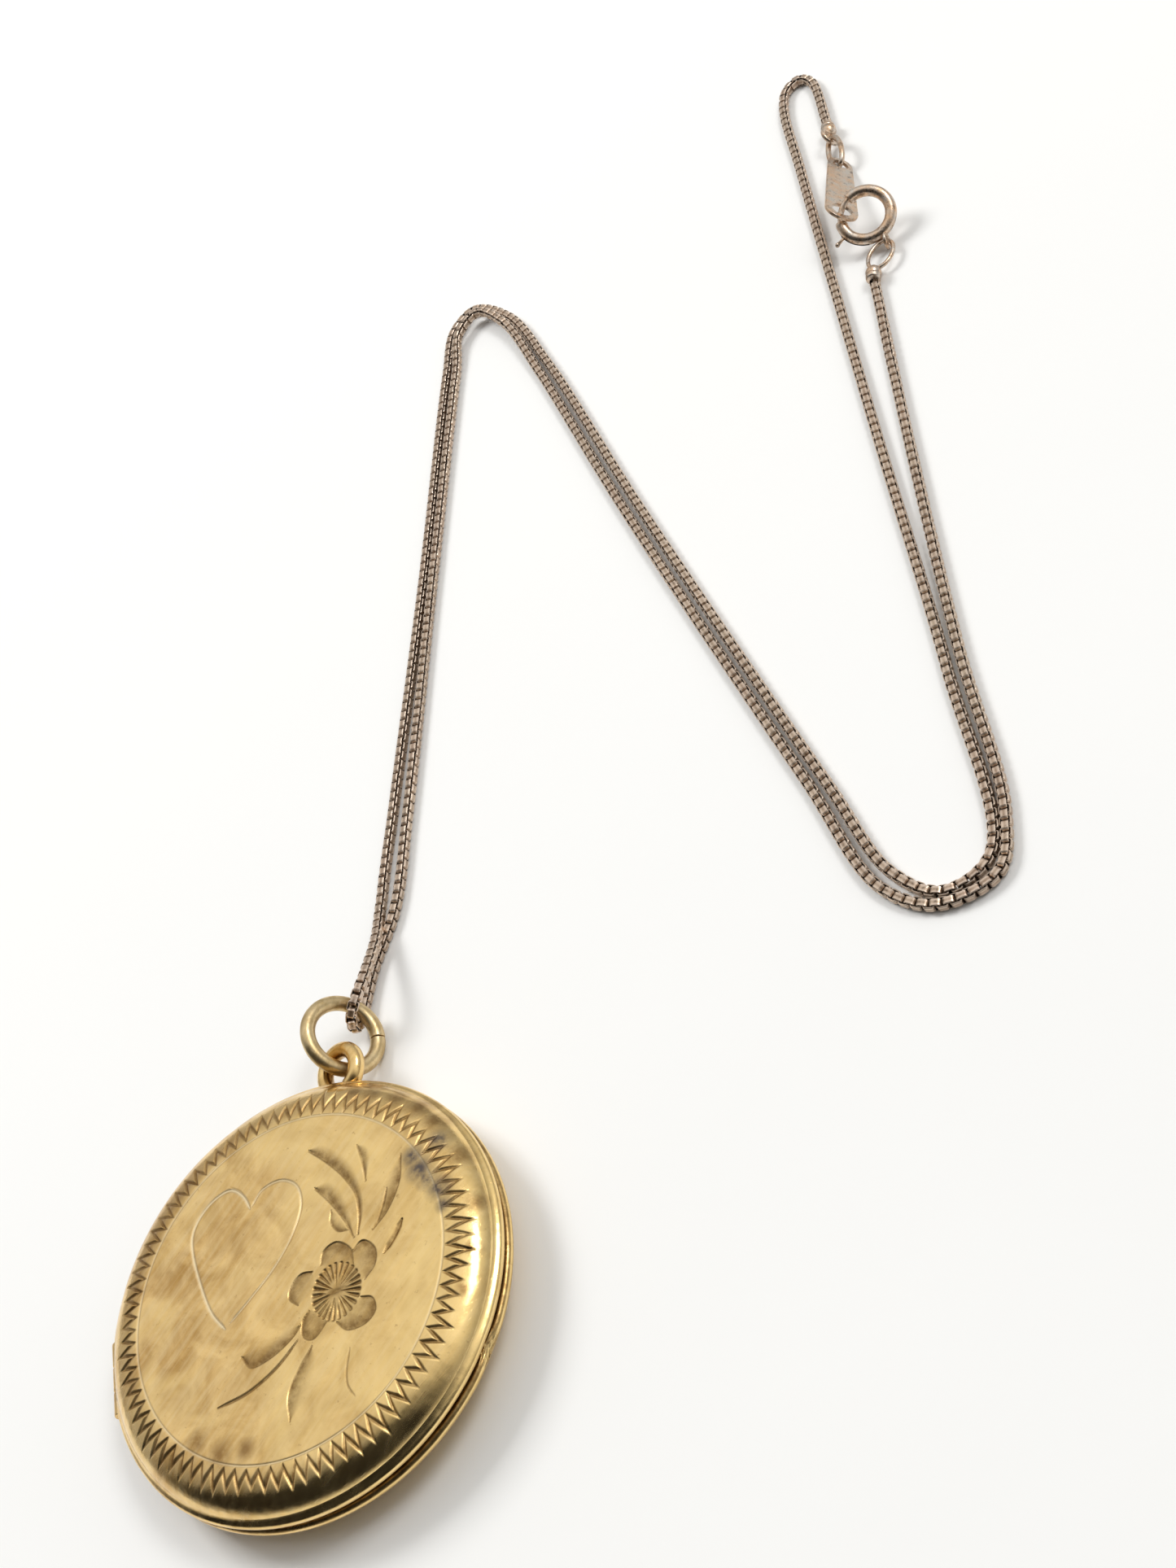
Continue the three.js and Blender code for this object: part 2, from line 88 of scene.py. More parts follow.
def camera():
    """The photographer's place: close, above the lower right, looking up the length of the chain."""
    place = np.array([81.92, -46.945, 109.5])
    forward = unit([-0.42809501, 0.56117691, -0.70838912])
    right = unit([0.88247729, 0.09056863, -0.46155298])
    data = bpy.data.cameras.new("camera")
    data.sensor_fit = "AUTO"
    data.sensor_width = 36.0
    data.lens = 46.91
    data.clip_start = 0.005
    data.clip_end = 20.0
    eye = bpy.data.objects.new("camera", data)
    up = np.cross(right, forward)
    turn = Matrix([list(row) for row in np.column_stack([right, up, -forward])])
    eye.matrix_world = Matrix.Translation(Vector(place * MM)) @ turn.to_4x4()
    bpy.context.scene.collection.objects.link(eye)
    bpy.context.scene.camera = eye


camera()

# ---------------- meshes


def add_piece(name, points, faces, material, body, stands_for=(), smooth=True, marks=None):
    """A mesh of points in millimetres that rides on a CAD body and stands for CAD nodes."""
    mesh = bpy.data.meshes.new(name)
    mesh.from_pydata((np.asarray(points) * MM).tolist(), [], faces)
    mesh.polygons.foreach_set("use_smooth", [smooth] * len(mesh.polygons))
    for mark, values in (marks or {}).items():
        attribute = mesh.attributes.new(mark, "FLOAT", "POINT")
        attribute.data.foreach_set("value", np.asarray(values, np.float32))
    mesh.materials.append(material)
    mesh.update()
    piece = bpy.data.objects.new(name, mesh)
    bpy.context.scene.collection.objects.link(piece)
    if body:
        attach(piece, body)
    if stands_for:
        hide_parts(*stands_for)
    return piece


def join(*parts):
    """Puts several (points, faces) together as one."""
    points, faces, start = [], [], 0
    for part_points, part_faces in parts:
        points.append(np.asarray(part_points))
        faces.extend([tuple(i + start for i in face) for face in part_faces])
        start += len(part_points)
    return np.vstack(points), faces


def band_faces(rows, columns, wrap_rows=False):
    """Four-sided faces over rows of points, each row a closed ring of so many columns."""
    i = np.arange(rows if wrap_rows else rows - 1)[:, None]
    j = np.arange(columns)[None, :]
    below, beside = (i + 1) % rows, (j + 1) % columns
    quads = np.stack([i * columns + j, i * columns + beside,
                      below * columns + beside, below * columns + j], axis=-1)
    return [tuple(quad) for quad in quads.reshape(-1, 4).tolist()]


def directions(path, closed=False):
    """The way that a path runs at each of its points."""
    if closed:
        steps = np.roll(path, -1, axis=0) - np.roll(path, 1, axis=0)
    else:
        steps = np.gradient(path, axis=0)
    return steps / np.linalg.norm(steps, axis=1)[:, None]


def tube(path, radii, up, sides, closed=False):
    """A round bar along a path; radii is one number, or one for each point of the path."""
    path = np.asarray(path, float)
    radii = np.broadcast_to(np.asarray(radii, float), (len(path),))
    along = directions(path, closed)
    side = np.cross(along, up)
    side /= np.linalg.norm(side, axis=1)[:, None]
    over = np.cross(side, along)
    turn = np.linspace(0, 2 * np.pi, sides, endpoint=False)
    ring = (side[:, None, :] * np.cos(turn)[None, :, None]
            + over[:, None, :] * np.sin(turn)[None, :, None])
    points = path[:, None, :] + ring * radii[:, None, None]
    faces = band_faces(len(path), sides, wrap_rows=closed)
    if not closed:
        last = (len(path) - 1) * sides
        faces.append(tuple(reversed(range(sides))))
        faces.append(tuple(range(last, last + sides)))
    return points.reshape(-1, 3), faces


def rounded_ends(path, radius, edge):
    """Path points and radii for a bar whose two ends are rounded over by edge."""
    turn = np.radians(np.linspace(0, 90, 6))
    along = directions(path)
    start = [path[0] + along[0] * edge * (1 - math.cos(t)) for t in turn]
    end = [path[-1] - along[-1] * edge * (1 - math.cos(t)) for t in turn[::-1]]
    end_radii = radius - edge * (1 - np.sin(turn))
    radii = np.concatenate([end_radii, np.full(len(path) - 2, radius), end_radii[::-1]])
    return np.vstack([start, path[1:-1], end]), radii


def lathe_points(profile, steps):
    """Rows of points of a profile of [radius, height] turned round the Z axis."""
    turn = np.linspace(0, 2 * np.pi, steps, endpoint=False)
    radius = profile[:, :1]
    height = np.broadcast_to(profile[:, 1:], (len(profile), steps))
    return np.stack([radius * np.cos(turn), radius * np.sin(turn), height], axis=-1).reshape(-1, 3)


def lathe(profile, steps, core=0.02):
    """A turned solid whose profile begins and ends on the axis, each end closed round a small core."""
    profile = np.array(profile, float)
    profile[:, 0] = np.maximum(profile[:, 0], core)
    faces = [tuple(reversed(face)) for face in band_faces(len(profile), steps)]
    last = (len(profile) - 1) * steps
    faces.append(tuple(range(steps)))
    faces.append(tuple(reversed(range(last, last + steps))))
    return lathe_points(profile, steps), faces


def turned(profile, steps, at, axis):
    """A small turned solid that stands at a place, along an axis."""
    points, faces = lathe(profile, steps, core=1e-3)
    spin = Vector(UP).rotation_difference(Vector(unit(axis))).to_matrix()
    return points @ np.array(spin).T + np.asarray(at, float), faces


class Circle:
    """A circle in space: angle 0 lies along "across" and it turns right-handed about the normal."""

    def __init__(self, centre, normal, across, radius):
        self.centre = np.asarray(centre, float)
        self.normal = unit(normal)
        across = np.asarray(across, float)
        self.x = unit(across - across.dot(self.normal) * self.normal)
        self.y = np.cross(self.normal, self.x)
        self.radius = radius

    def at(self, degrees, radius=None):
        angle = np.radians(degrees)
        reach = self.radius if radius is None else radius
        x = np.multiply.outer(reach * np.cos(angle), self.x)
        y = np.multiply.outer(reach * np.sin(angle), self.y)
        return self.centre + x + y

    def arc(self, start, end, steps, radius=None):
        return self.at(np.linspace(start, end, steps), radius)

    def wire(self, radius, steps, sides):
        """A closed ring of round wire along the circle."""
        return tube(self.arc(0, 360, steps + 1)[:-1], radius, self.normal, sides, closed=True)


def oval(centre, along, across, half_length, half_width):
    """The path of a wire oval, and the direction that it faces."""
    y = unit(along)
    x = np.asarray(across, float)
    x = unit(x - x.dot(y) * y)
    turn = np.linspace(0, 2 * np.pi, 72, endpoint=False)
    path = centre + half_width * np.outer(np.cos(turn), x) + half_length * np.outer(np.sin(turn), y)
    return path, np.cross(x, y)


def smooth_line(points, steps):
    """A Catmull-Rom line through points, each span in equal steps."""
    points = np.asarray(points, float)
    padded = np.vstack([2 * points[0] - points[1], points, 2 * points[-1] - points[-2]])
    line = []
    for a, b, c, d in zip(padded, padded[1:], padded[2:], padded[3:]):
        knots = np.cumsum([0] + [max(np.linalg.norm(q - p), 1e-6) ** 0.5
                                 for p, q in ((a, b), (b, c), (c, d))])
        t = np.linspace(knots[1], knots[2], steps, endpoint=False)[:, None]
        ab = ((knots[1] - t) * a + (t - knots[0]) * b) / (knots[1] - knots[0])
        bc = ((knots[2] - t) * b + (t - knots[1]) * c) / (knots[2] - knots[1])
        cd = ((knots[3] - t) * c + (t - knots[2]) * d) / (knots[3] - knots[2])
        abc = ((knots[2] - t) * ab + (t - knots[0]) * bc) / (knots[2] - knots[0])
        bcd = ((knots[3] - t) * bc + (t - knots[1]) * cd) / (knots[3] - knots[1])
        line.append(((knots[2] - t) * abc + (t - knots[1]) * bcd) / (knots[2] - knots[1]))
    line.append(points[-1:])
    return np.vstack(line)


# ---------------- materials


class Paint:
    """A procedural surface: short calls that add nodes and return their outputs."""

    def __init__(self, name):
        self.material = bpy.data.materials.new(name)
        self.material.use_nodes = True
        self.tree = self.material.node_tree
        self.shader = self.tree.nodes["Principled BSDF"]
        self.place = self.tree.nodes.new("ShaderNodeTexCoord").outputs["Object"]

    def node(self, kind, inputs, output=0, **settings):
        made = self.tree.nodes.new(kind)
        for key, value in settings.items():
            setattr(made, key, value)
        for key, value in inputs.items():
            self.set(made.inputs[key], value)
        return made.outputs[output]

    def set(self, socket, value):
        if isinstance(value, bpy.types.NodeSocket):
            self.tree.links.new(value, socket)
        else:
            socket.default_value = value

    def use(self, **inputs):
        for key, value in inputs.items():
            self.set(self.shader.inputs[key.replace("_", " ")], value)
        return self.material

    def metal(self, tint, rough, relief):
        return self.use(Base_Color=tint, Metallic=1.0, Roughness=rough, Normal=relief)

    def noise(self, scale, detail=3.0, roughness=0.55, place=None, distortion=0.0):
        """Noise with about "scale" patches to the millimetre."""
        return self.node("ShaderNodeTexNoise", {
            "Vector": place or self.place, "Scale": scale / MM, "Detail": detail,
            "Roughness": roughness, "Distortion": distortion}, "Fac")

    def stretched(self, angle, stretch):
        """The surface's place, drawn out along a direction in the locket's plane."""
        return self.node("ShaderNodeMapping", {
            "Vector": self.place, "Rotation": (0, 0, math.radians(angle)),
            "Scale": (stretch, 1, 1)}, "Vector", vector_type="TEXTURE")

    def across(self, low, high):
        """Nought to one across the object from x = low to x = high, in millimetres."""
        place = self.node("ShaderNodeSeparateXYZ", {"Vector": self.place}, "X")
        return self.range(place, low * MM, high * MM)

    def range(self, value, low, high, to_low=0.0, to_high=1.0):
        return self.node("ShaderNodeMapRange", {
            "Value": value, "From Min": low, "From Max": high,
            "To Min": to_low, "To Max": to_high}, "Result")

    def times(self, a, b):
        return self.node("ShaderNodeMath", {0: a, 1: b}, operation="MULTIPLY")

    def plus(self, a, b):
        return self.node("ShaderNodeMath", {0: a, 1: b}, operation="ADD")

    def mix(self, amount, first, second):
        made = self.tree.nodes.new("ShaderNodeMix")
        made.data_type = "RGBA"
        self.set(made.inputs[0], amount)
        self.set(made.inputs[6], first)
        self.set(made.inputs[7], second)
        return made.outputs[2]

    def mark(self, name):
        return self.node("ShaderNodeAttribute", {}, "Fac", attribute_name=name)

    def bump(self, height, depth, under=None):
        inputs = {"Height": height, "Strength": 1.0, "Distance": depth * MM}
        if under is not None:
            inputs["Normal"] = under
        return self.node("ShaderNodeBump", inputs, "Normal")


def gold_paint(name, marked=False):
    """Worn gold fill: soft mottles, fine diagonal brushing and a painted highlight towards +x; on marked
    meshes, tarnished patches, painted shade in the cuts, along the seams and inside the bail, and painted
    highlights on some cuts.
    """
    paint = Paint(name)
    mottle = paint.range(paint.noise(0.35, 5.0, 0.62, distortion=0.5), 0.36, 0.64)
    patches = paint.range(paint.noise(0.16, 3.0, distortion=0.6), 0.44, 0.66)
    brushed = paint.noise(2.4, 4.0, place=paint.stretched(57, 14))
    crossed = paint.noise(4.5, 2.0, place=paint.stretched(-38, 30))
    scratches = paint.range(paint.noise(7.0, 1.0, place=paint.stretched(48, 60)), 0.64, 0.68)
    tint = paint.mix(mottle, (0.55, 0.325, 0.105, 1), (0.88, 0.60, 0.25, 1))
    tint = paint.mix(paint.times(patches, 0.55), tint, (0.95, 0.70, 0.30, 1))
    tint = paint.mix(paint.range(brushed, 0.38, 0.66, 0.0, 0.42), tint, (0.96, 0.75, 0.42, 1))
    # painted highlight: the gold is made brighter and yellower towards +x
    tint = paint.mix(paint.times(paint.across(-9, 12), 0.5), tint, (1.0, 0.74, 0.31, 1))
    specks = paint.range(paint.noise(2.2, 4.0, 0.7), 0.63, 0.74, 0, 0.55)
    tint = paint.mix(specks, tint, (0.36, 0.20, 0.07, 1))
    rough = paint.plus(paint.range(mottle, 0, 1, 0.38, 0.26), paint.range(brushed, 0.3, 0.7, 0, 0.08))
    if marked:
        # painted shade in the engraved cuts and along the seams, made patchy with grime
        grime = paint.range(paint.noise(1.3, 4.0, 0.7), 0.3, 0.62, 0.45, 1.0)
        groove_shade = paint.times(paint.mark("groove_shade"), grime)
        tint = paint.mix(paint.times(groove_shade, 0.8), tint, (0.185, 0.09, 0.024, 1))
        # painted highlight on the marked cuts
        bright = paint.times(paint.mark("painted_highlight"), 0.75)
        tint = paint.mix(bright, tint, (1.0, 0.86, 0.58, 1))
        edge = paint.range(paint.noise(0.9, 5.0, 0.65), 0.3, 0.56, 0.35, 1.0)
        blue = paint.times(paint.mark("blue_tarnish"), edge)
        tint = paint.mix(blue, tint, (0.14, 0.115, 0.10, 1))
        # brown: tarnished patches on the covers, painted shade inside the bail
        brown = paint.times(paint.mark("brown_tarnish_and_shade"), edge)
        tint = paint.mix(brown, tint, (0.30, 0.165, 0.055, 1))
        rough = paint.plus(rough, paint.times(groove_shade, 0.12))
        rough = paint.plus(rough, paint.times(paint.mark("polish"), -0.15))
    relief = paint.bump(paint.noise(0.5, 2.0), 0.045)
    relief = paint.bump(brushed, 0.006, relief)
    relief = paint.bump(crossed, 0.0018, relief)
    relief = paint.bump(scratches, 0.0016, relief)
    return paint.metal(tint, rough, relief)


def brass_paint():
    """Paler brass of the jump ring, dulled and scratched round its wire."""
    paint = Paint("pale_brass")
    cloud = paint.range(paint.noise(0.9, 5.0, 0.6), 0.35, 0.68)
    fine = paint.noise(5.0, 3.0, place=paint.stretched(75, 10))
    tint = paint.mix(cloud, (0.53, 0.385, 0.18, 1), (0.80, 0.62, 0.35, 1))
    tint = paint.mix(paint.range(fine, 0.45, 0.75, 0, 0.3), tint, (0.90, 0.76, 0.50, 1))
    pits = paint.range(paint.noise(3.0, 4.0, 0.7), 0.64, 0.74, 0, 0.6)
    tint = paint.mix(pits, tint, (0.27, 0.17, 0.07, 1))
    relief = paint.bump(paint.noise(1.6, 2.0), 0.02)
    relief = paint.bump(fine, 0.004, relief)
    rough = paint.range(cloud, 0, 1, 0.42, 0.30)
    return paint.metal(tint, rough, relief)


def rose_paint():
    """Worn rose plate of the clasp, greyer where the plate is thin."""
    paint = Paint("rose_silver")
    worn = paint.range(paint.noise(1.1, 5.0, 0.65), 0.38, 0.66)
    grain = paint.noise(8.0, 3.0)
    tint = paint.mix(worn, (0.70, 0.48, 0.31, 1), (0.60, 0.55, 0.49, 1))
    dirt = paint.range(paint.noise(1.7, 5.0, 0.7), 0.54, 0.68, 0, 0.85)
    tint = paint.mix(dirt, tint, (0.14, 0.09, 0.06, 1))
    relief = paint.bump(paint.noise(2.0, 2.0), 0.02)
    relief = paint.bump(grain, 0.004, relief)
    rough = paint.range(grain, 0.3, 0.7, 0.24, 0.4)
    return paint.metal(tint, rough, relief)


def chain_paint():
    """Oxidised rose plate, worn bright on the links' edges, with painted shade that makes them nearly
    black inside.
    """
    paint = Paint("oxidised")
    worn = paint.range(paint.noise(1.4, 4.0, 0.65), 0.35, 0.68)
    along = paint.range(paint.noise(0.12, 2.0), 0.4, 0.62)
    tint = paint.mix(worn, (0.33, 0.22, 0.15, 1), (0.60, 0.45, 0.34, 1))
    tint = paint.mix(paint.times(along, 0.45), tint, (0.52, 0.43, 0.31, 1))
    dirt = paint.range(paint.noise(3.0, 3.0, 0.7), 0.52, 0.68, 0, 0.85)
    tint = paint.mix(dirt, tint, (0.12, 0.075, 0.045, 1))
    tint = paint.mix(paint.times(paint.mark("edge"), 0.85), tint, (0.86, 0.71, 0.58, 1))
    # painted shade: the links' inside faces made nearly black
    tint = paint.mix(paint.mark("inner_shade"), tint, (0.03, 0.018, 0.012, 1))
    relief = paint.bump(paint.noise(4.0, 3.0), 0.02)
    rough = paint.range(worn, 0, 1, 0.45, 0.30)
    return paint.metal(tint, rough, relief)


def steel_paint():
    """Drawn steel wire of the hinge pin and of the clasp's coil."""
    paint = Paint("steel")
    drawn = paint.noise(9.0, 3.0, place=paint.stretched(108, 20))
    tint = paint.mix(drawn, (0.36, 0.35, 0.34, 1), (0.62, 0.61, 0.59, 1))
    rough = paint.range(drawn, 0.3, 0.7, 0.28, 0.45)
    return paint.metal(tint, rough, paint.bump(drawn, 0.003))


def film_paint():
    """Clear film over the photo space, a little hazed and scratched."""
    paint = Paint("clear_film")
    haze = paint.noise(0.5, 4.0)
    tint = paint.mix(haze, (0.88, 0.90, 0.88, 1), (0.97, 0.98, 0.97, 1))
    rough = paint.range(haze, 0.3, 0.7, 0.06, 0.2)
    scratches = paint.noise(5.0, 1.0, place=paint.stretched(20, 50))
    return paint.use(Base_Color=tint, Roughness=rough, Alpha=0.35,
                     Normal=paint.bump(scratches, 0.002))


def dark_paint():
    """The shadowed bottom of a slot."""
    paint = Paint("slot_shadow")
    dust = paint.noise(6.0, 3.0)
    tint = paint.mix(dust, (0.02, 0.015, 0.01, 1), (0.09, 0.065, 0.045, 1))
    return paint.use(Base_Color=tint, Metallic=0.6, Roughness=paint.range(dust, 0.3, 0.7, 0.5, 0.8))


def floor_paint():
    """Matt pale paper, very slightly uneven."""
    paint = Paint("floor")
    soft = paint.noise(0.02, 3.0)
    tint = paint.mix(soft, (0.90, 0.90, 0.885, 1), (0.93, 0.93, 0.915, 1))
    return paint.use(Base_Color=tint, Roughness=0.9,
                     Normal=paint.bump(paint.noise(0.3, 2.0), 0.01))


GOLD = gold_paint("aged_gold")
MARKED_GOLD = gold_paint("aged_gold_engraved", marked=True)
BRASS = brass_paint()
ROSE = rose_paint()
CHAIN = chain_paint()
STEEL = steel_paint()
FILM = film_paint()
DARK = dark_paint()

# ---------------- the chain
# The chain folds round the jump ring's wire and both strands run side by side.
CHAIN_ROUTE = [
    # down from the clasp and round the lower bend, on its outside
    (38.4, 84.6, 0.45), (41.4, 65.8, 0.45), (45.2, 44.0, 0.45), (48.2, 29.6, 0.45),
    (47.6, 25.0, 0.45), (43.6, 23.4, 0.45), (39.6, 25.4, 0.45), (33.8, 35.6, 0.45),
    # up and round the upper bend, on its inside, leaning on the other strand
    (17.2, 65.8, 0.45), (6.0, 87.4, 0.45), (1.6, 95.0, 1.0), (-1.6, 97.5, 1.05),
    (-3.3, 95.6, 0.9), (-3.2, 91.0, 0.45),
    # down to the jump ring, under its wire, round it and back over it
    (-1.75, 65.0, 0.45), (-0.2, 40.0, 0.45), (0.1, 31.6, 0.45), (-0.9, 26.5, 0.5),
    (-1.05, 22.8, 0.66), (-0.95, 21.3, 1.15), (-0.8, 20.95, 2.0), (-0.4, 21.4, 2.9),
    (0.1, 22.6, 3.3), (0.2, 24.4, 2.95), (-0.4, 28.4, 1.5), (-1.2, 32.0, 0.55),
    (-1.7, 42.0, 0.45), (-2.7, 65.0, 0.45),
    # up and round the upper bend, on its outside
    (-4.2, 91.0, 0.45), (-4.2, 96.6, 0.45), (-2.3, 98.7, 0.45), (1.8, 96.1, 0.45),
    (6.9, 88.0, 0.45), (18.4, 66.0, 0.45),
    # down and round the lower bend, on its inside, then up to the clasp's tag
    (35.4, 35.0, 0.45), (40.3, 26.5, 0.45), (43.9, 24.3, 0.45), (47.1, 26.4, 0.45),
    (44.3, 42.6, 0.45), (38.9, 66.7, 0.45), (31.2, 102.2, 0.45), (29.1, 112.4, 0.45),
    (29.3, 114.8, 0.45), (30.5, 115.8, 0.45), (31.7, 114.9, 0.45), (33.6, 107.5, 0.45),
]
LINK_PITCH = 0.45
LINK_LENGTH = 0.8
LINK_STRIP = 0.5
LINK_SHEET = 0.13
LINK_CORNER = 0.2
LINK_BEVEL = 0.04
LINK_LOWEST = 0.015
SWAY_LINKS = 60                  # links over which the chain's slow twist changes
SLOW_TWIST = 7                   # degrees either way
LINK_PLAY = 1.6                  # degrees, a link's own random turn


def spaced(line, pitch):
    """Points every pitch along a line, as near as a whole number of them allows."""
    reach = np.concatenate([[0], np.cumsum(np.linalg.norm(np.diff(line, axis=0), axis=1))])
    marks = np.linspace(0, reach[-1], round(reach[-1] / pitch) + 1)
    return np.column_stack([np.interp(marks, reach, line[:, k]) for k in range(3)])


def box_link():
    """One square link: a rounded loop of flat strip, its length along x and its hole along z."""
    half_length, half_width = LINK_LENGTH / 2, CHAIN_WIDTH / 2
    middle = []
    for x, y, start in ((1, 1, 0), (-1, 1, 90), (-1, -1, 180), (1, -1, 270)):
        for turn in np.radians([start + 10, start + 45, start + 80]):
            middle.append((x * (half_length - LINK_CORNER) + LINK_CORNER * math.cos(turn),
                           y * (half_width - LINK_CORNER) + LINK_CORNER * math.sin(turn)))
    middle = np.array(middle)
    outward = middle / np.linalg.norm(middle, axis=1)[:, None]
    strip = LINK_STRIP / 2
    section = [(0, -strip + LINK_BEVEL), (0, 0), (0, strip - LINK_BEVEL), (LINK_BEVEL, strip),
               (LINK_SHEET, strip), (LINK_SHEET, -strip), (LINK_BEVEL, -strip)]
    points, inner_shade, edge = [], [], []
    for place, way in zip(middle, outward):
        for depth, height in section:
            points.append((*(place - way * depth), height))
            # the inside faces of the strip carry the painted shade
            inner_shade.append(1.0 if depth == LINK_SHEET else 0.0)
            edge.append(1.0 if height and depth <= LINK_BEVEL else 0.0)
    faces = band_faces(len(middle), len(section), wrap_rows=True)
    return np.array(points), faces, np.array(inner_shade), np.array(edge)


def box_chain():
    """All the links, every second one a quarter turn round, and the line that they follow."""
    line = smooth_line(CHAIN_ROUTE, 60)
    line[:, 2] = np.maximum(line[:, 2], CHAIN_REST)
    places = spaced(line, LINK_PITCH)
    along = directions(places)
    link, link_faces, link_inner_shade, link_edge = box_link()
    points, faces = [], []
    over = UP
    sway = np.cumsum(rng.normal(0, 1.0, len(places)))
    sway = np.convolve(sway - sway.mean(), np.ones(SWAY_LINKS) / SWAY_LINKS, mode="same")
    for i, (place, way) in enumerate(zip(places, along)):
        over = unit(over - over.dot(way) * way)
        # where the chain runs level, its twist from the climb round the ring is undone bit by bit
        level = UP - way[2] * way
        if np.linalg.norm(level) > 0.5:
            over = unit(over + 0.3 * math.copysign(1, over.dot(UP)) * level)
        side = np.cross(over, way)
        twist = SLOW_TWIST * math.sin(sway[i] * 0.35)
        roll = math.radians(twist + rng.normal(0, LINK_PLAY) + 90 * (i % 2))
        first = side * math.cos(roll) + over * math.sin(roll)
        second = over * math.cos(roll) - side * math.sin(roll)
        turn = np.column_stack([way, first, second])
        points.append(place + link @ turn.T)
        faces.extend([tuple(k + i * len(link) for k in face) for face in link_faces])
    points = np.vstack(points)
    points[:, 2] = np.maximum(points[:, 2], LINK_LOWEST)
    piece = add_piece("box_chain_links", points, faces, CHAIN, "chain", ["box_chain"],
                      smooth=False, marks={"inner_shade": np.tile(link_inner_shade, len(places)),
                                           "edge": np.tile(link_edge, len(places))})
    return piece, places * MM


chain_piece, chain_line = box_chain()

# ---------------- chain ends and clasp
CLASP = Circle((38.14, 91.44, 2.2), (0.15, -0.46, 0.875), (0.95, 0.31, 0), 2.15)
CLASP_TUBE_RADIUS = 0.5
CLASP_BOLT_RADIUS = 0.26
# degrees round the clasp
GAP_START, GAP_END = 112, 166
BOLT_TIP, BOLT_TAIL, LEVER_AT = 108, 206, 200
TAG_AT, EYE_AT, COLLAR_AT = 139, 281, 174
SLOT_START, SLOT_END = LEVER_AT - 6, LEVER_AT + 52
EYE_CENTRE = CLASP.at(EYE_AT, CLASP.radius + CLASP_TUBE_RADIUS + 0.36)

CLASP_CUP = np.array([38.35, 84.85, 0.72])
CLASP_LOOP_FOOT = np.array([38.45, 86.2, 0.72])
TAG_CUP = np.array([33.66, 107.2, 0.72])
TAG_CUP_WAY = unit([0.2, -1, 0])
TAG_LOOP_CENTRE = TAG_CUP + 2.2 * TAG_CUP_WAY + [0, 0, 0.3]
TAG_TOP = np.array([35.1, 100.75, 0.95])
TAG_FOOT = CLASP.at(TAG_AT)
TAG_ALONG = unit(TAG_TOP - TAG_FOOT)


def end_cup(at, towards, length):
    """The crimped cup that holds one end of the chain, with a dimple line and a rounded nose."""
    profile = [(0.0, 0.0), (0.5, 0.0), (0.58, 0.03), (0.62, 0.08), (0.66, 0.25 * length),
               (0.66, 0.30 * length), (0.60, 0.34 * length), (0.66, 0.38 * length),
               (0.68, 0.6 * length), (0.60, 0.78 * length), (0.42, 0.93 * length),
               (0.30, length), (0.0, length)]
    return turned(profile, 28, at, towards)


def clasp_end():
    """The cup at the chain's clasp end, with its wire loop."""
    loop, normal = oval((CLASP_LOOP_FOOT + EYE_CENTRE) / 2, EYE_CENTRE - CLASP_LOOP_FOOT, RIGHT,
                        np.linalg.norm(EYE_CENTRE - CLASP_LOOP_FOOT) / 2, 1.05)
    wire = tube(loop, 0.18, normal, 16, closed=True)
    shape = join(end_cup(CLASP_CUP, (0, 1, 0), 1.5), wire)
    return add_piece("clasp_end", *shape, ROSE, "chain", ["clasp_end_cup"])


def tag_end():
    """The cup at the chain's other end, with its small ring."""
    ring = Circle(TAG_LOOP_CENTRE, (0.86, 0.17, 0.5), UP, 0.8)
    shape = join(end_cup(TAG_CUP, TAG_CUP_WAY, 1.5), ring.wire(0.2, 48, 16))
    return add_piece("tag_end", *shape, ROSE, "chain", ["tag_end_cup"])


def round_part(y, radius, start, end, steps):
    """Points of an arc whose centre lies y along the tag."""
    turn = np.radians(np.linspace(start, end, steps))
    return [(radius * math.cos(t), y + radius * math.sin(t)) for t in turn]


def flat_plate(outlines, thick, edge):
    """A plate with rounded edges: the first outline is its rim, the rest are holes."""
    curve = bpy.data.curves.new("tag_outline", "CURVE")
    curve.dimensions = "2D"
    curve.fill_mode = "BOTH"
    curve.extrude = (thick / 2 - edge) * MM
    curve.bevel_depth = edge * MM
    curve.bevel_resolution = 3
    for outline in outlines:
        spline = curve.splines.new("POLY")
        spline.points.add(len(outline) - 1)
        for corner, (x, y) in zip(spline.points, outline):
            corner.co = (x * MM, y * MM, 0, 1)
        spline.use_cyclic_u = True
    flat = bpy.data.objects.new("tag_outline", curve)
    mesh = bpy.data.meshes.new_from_object(flat)
    bpy.data.objects.remove(flat)
    points = np.array([v.co for v in mesh.vertices]) / MM
    faces = [tuple(p.vertices) for p in mesh.polygons]
    bpy.data.meshes.remove(mesh)
    return points, faces


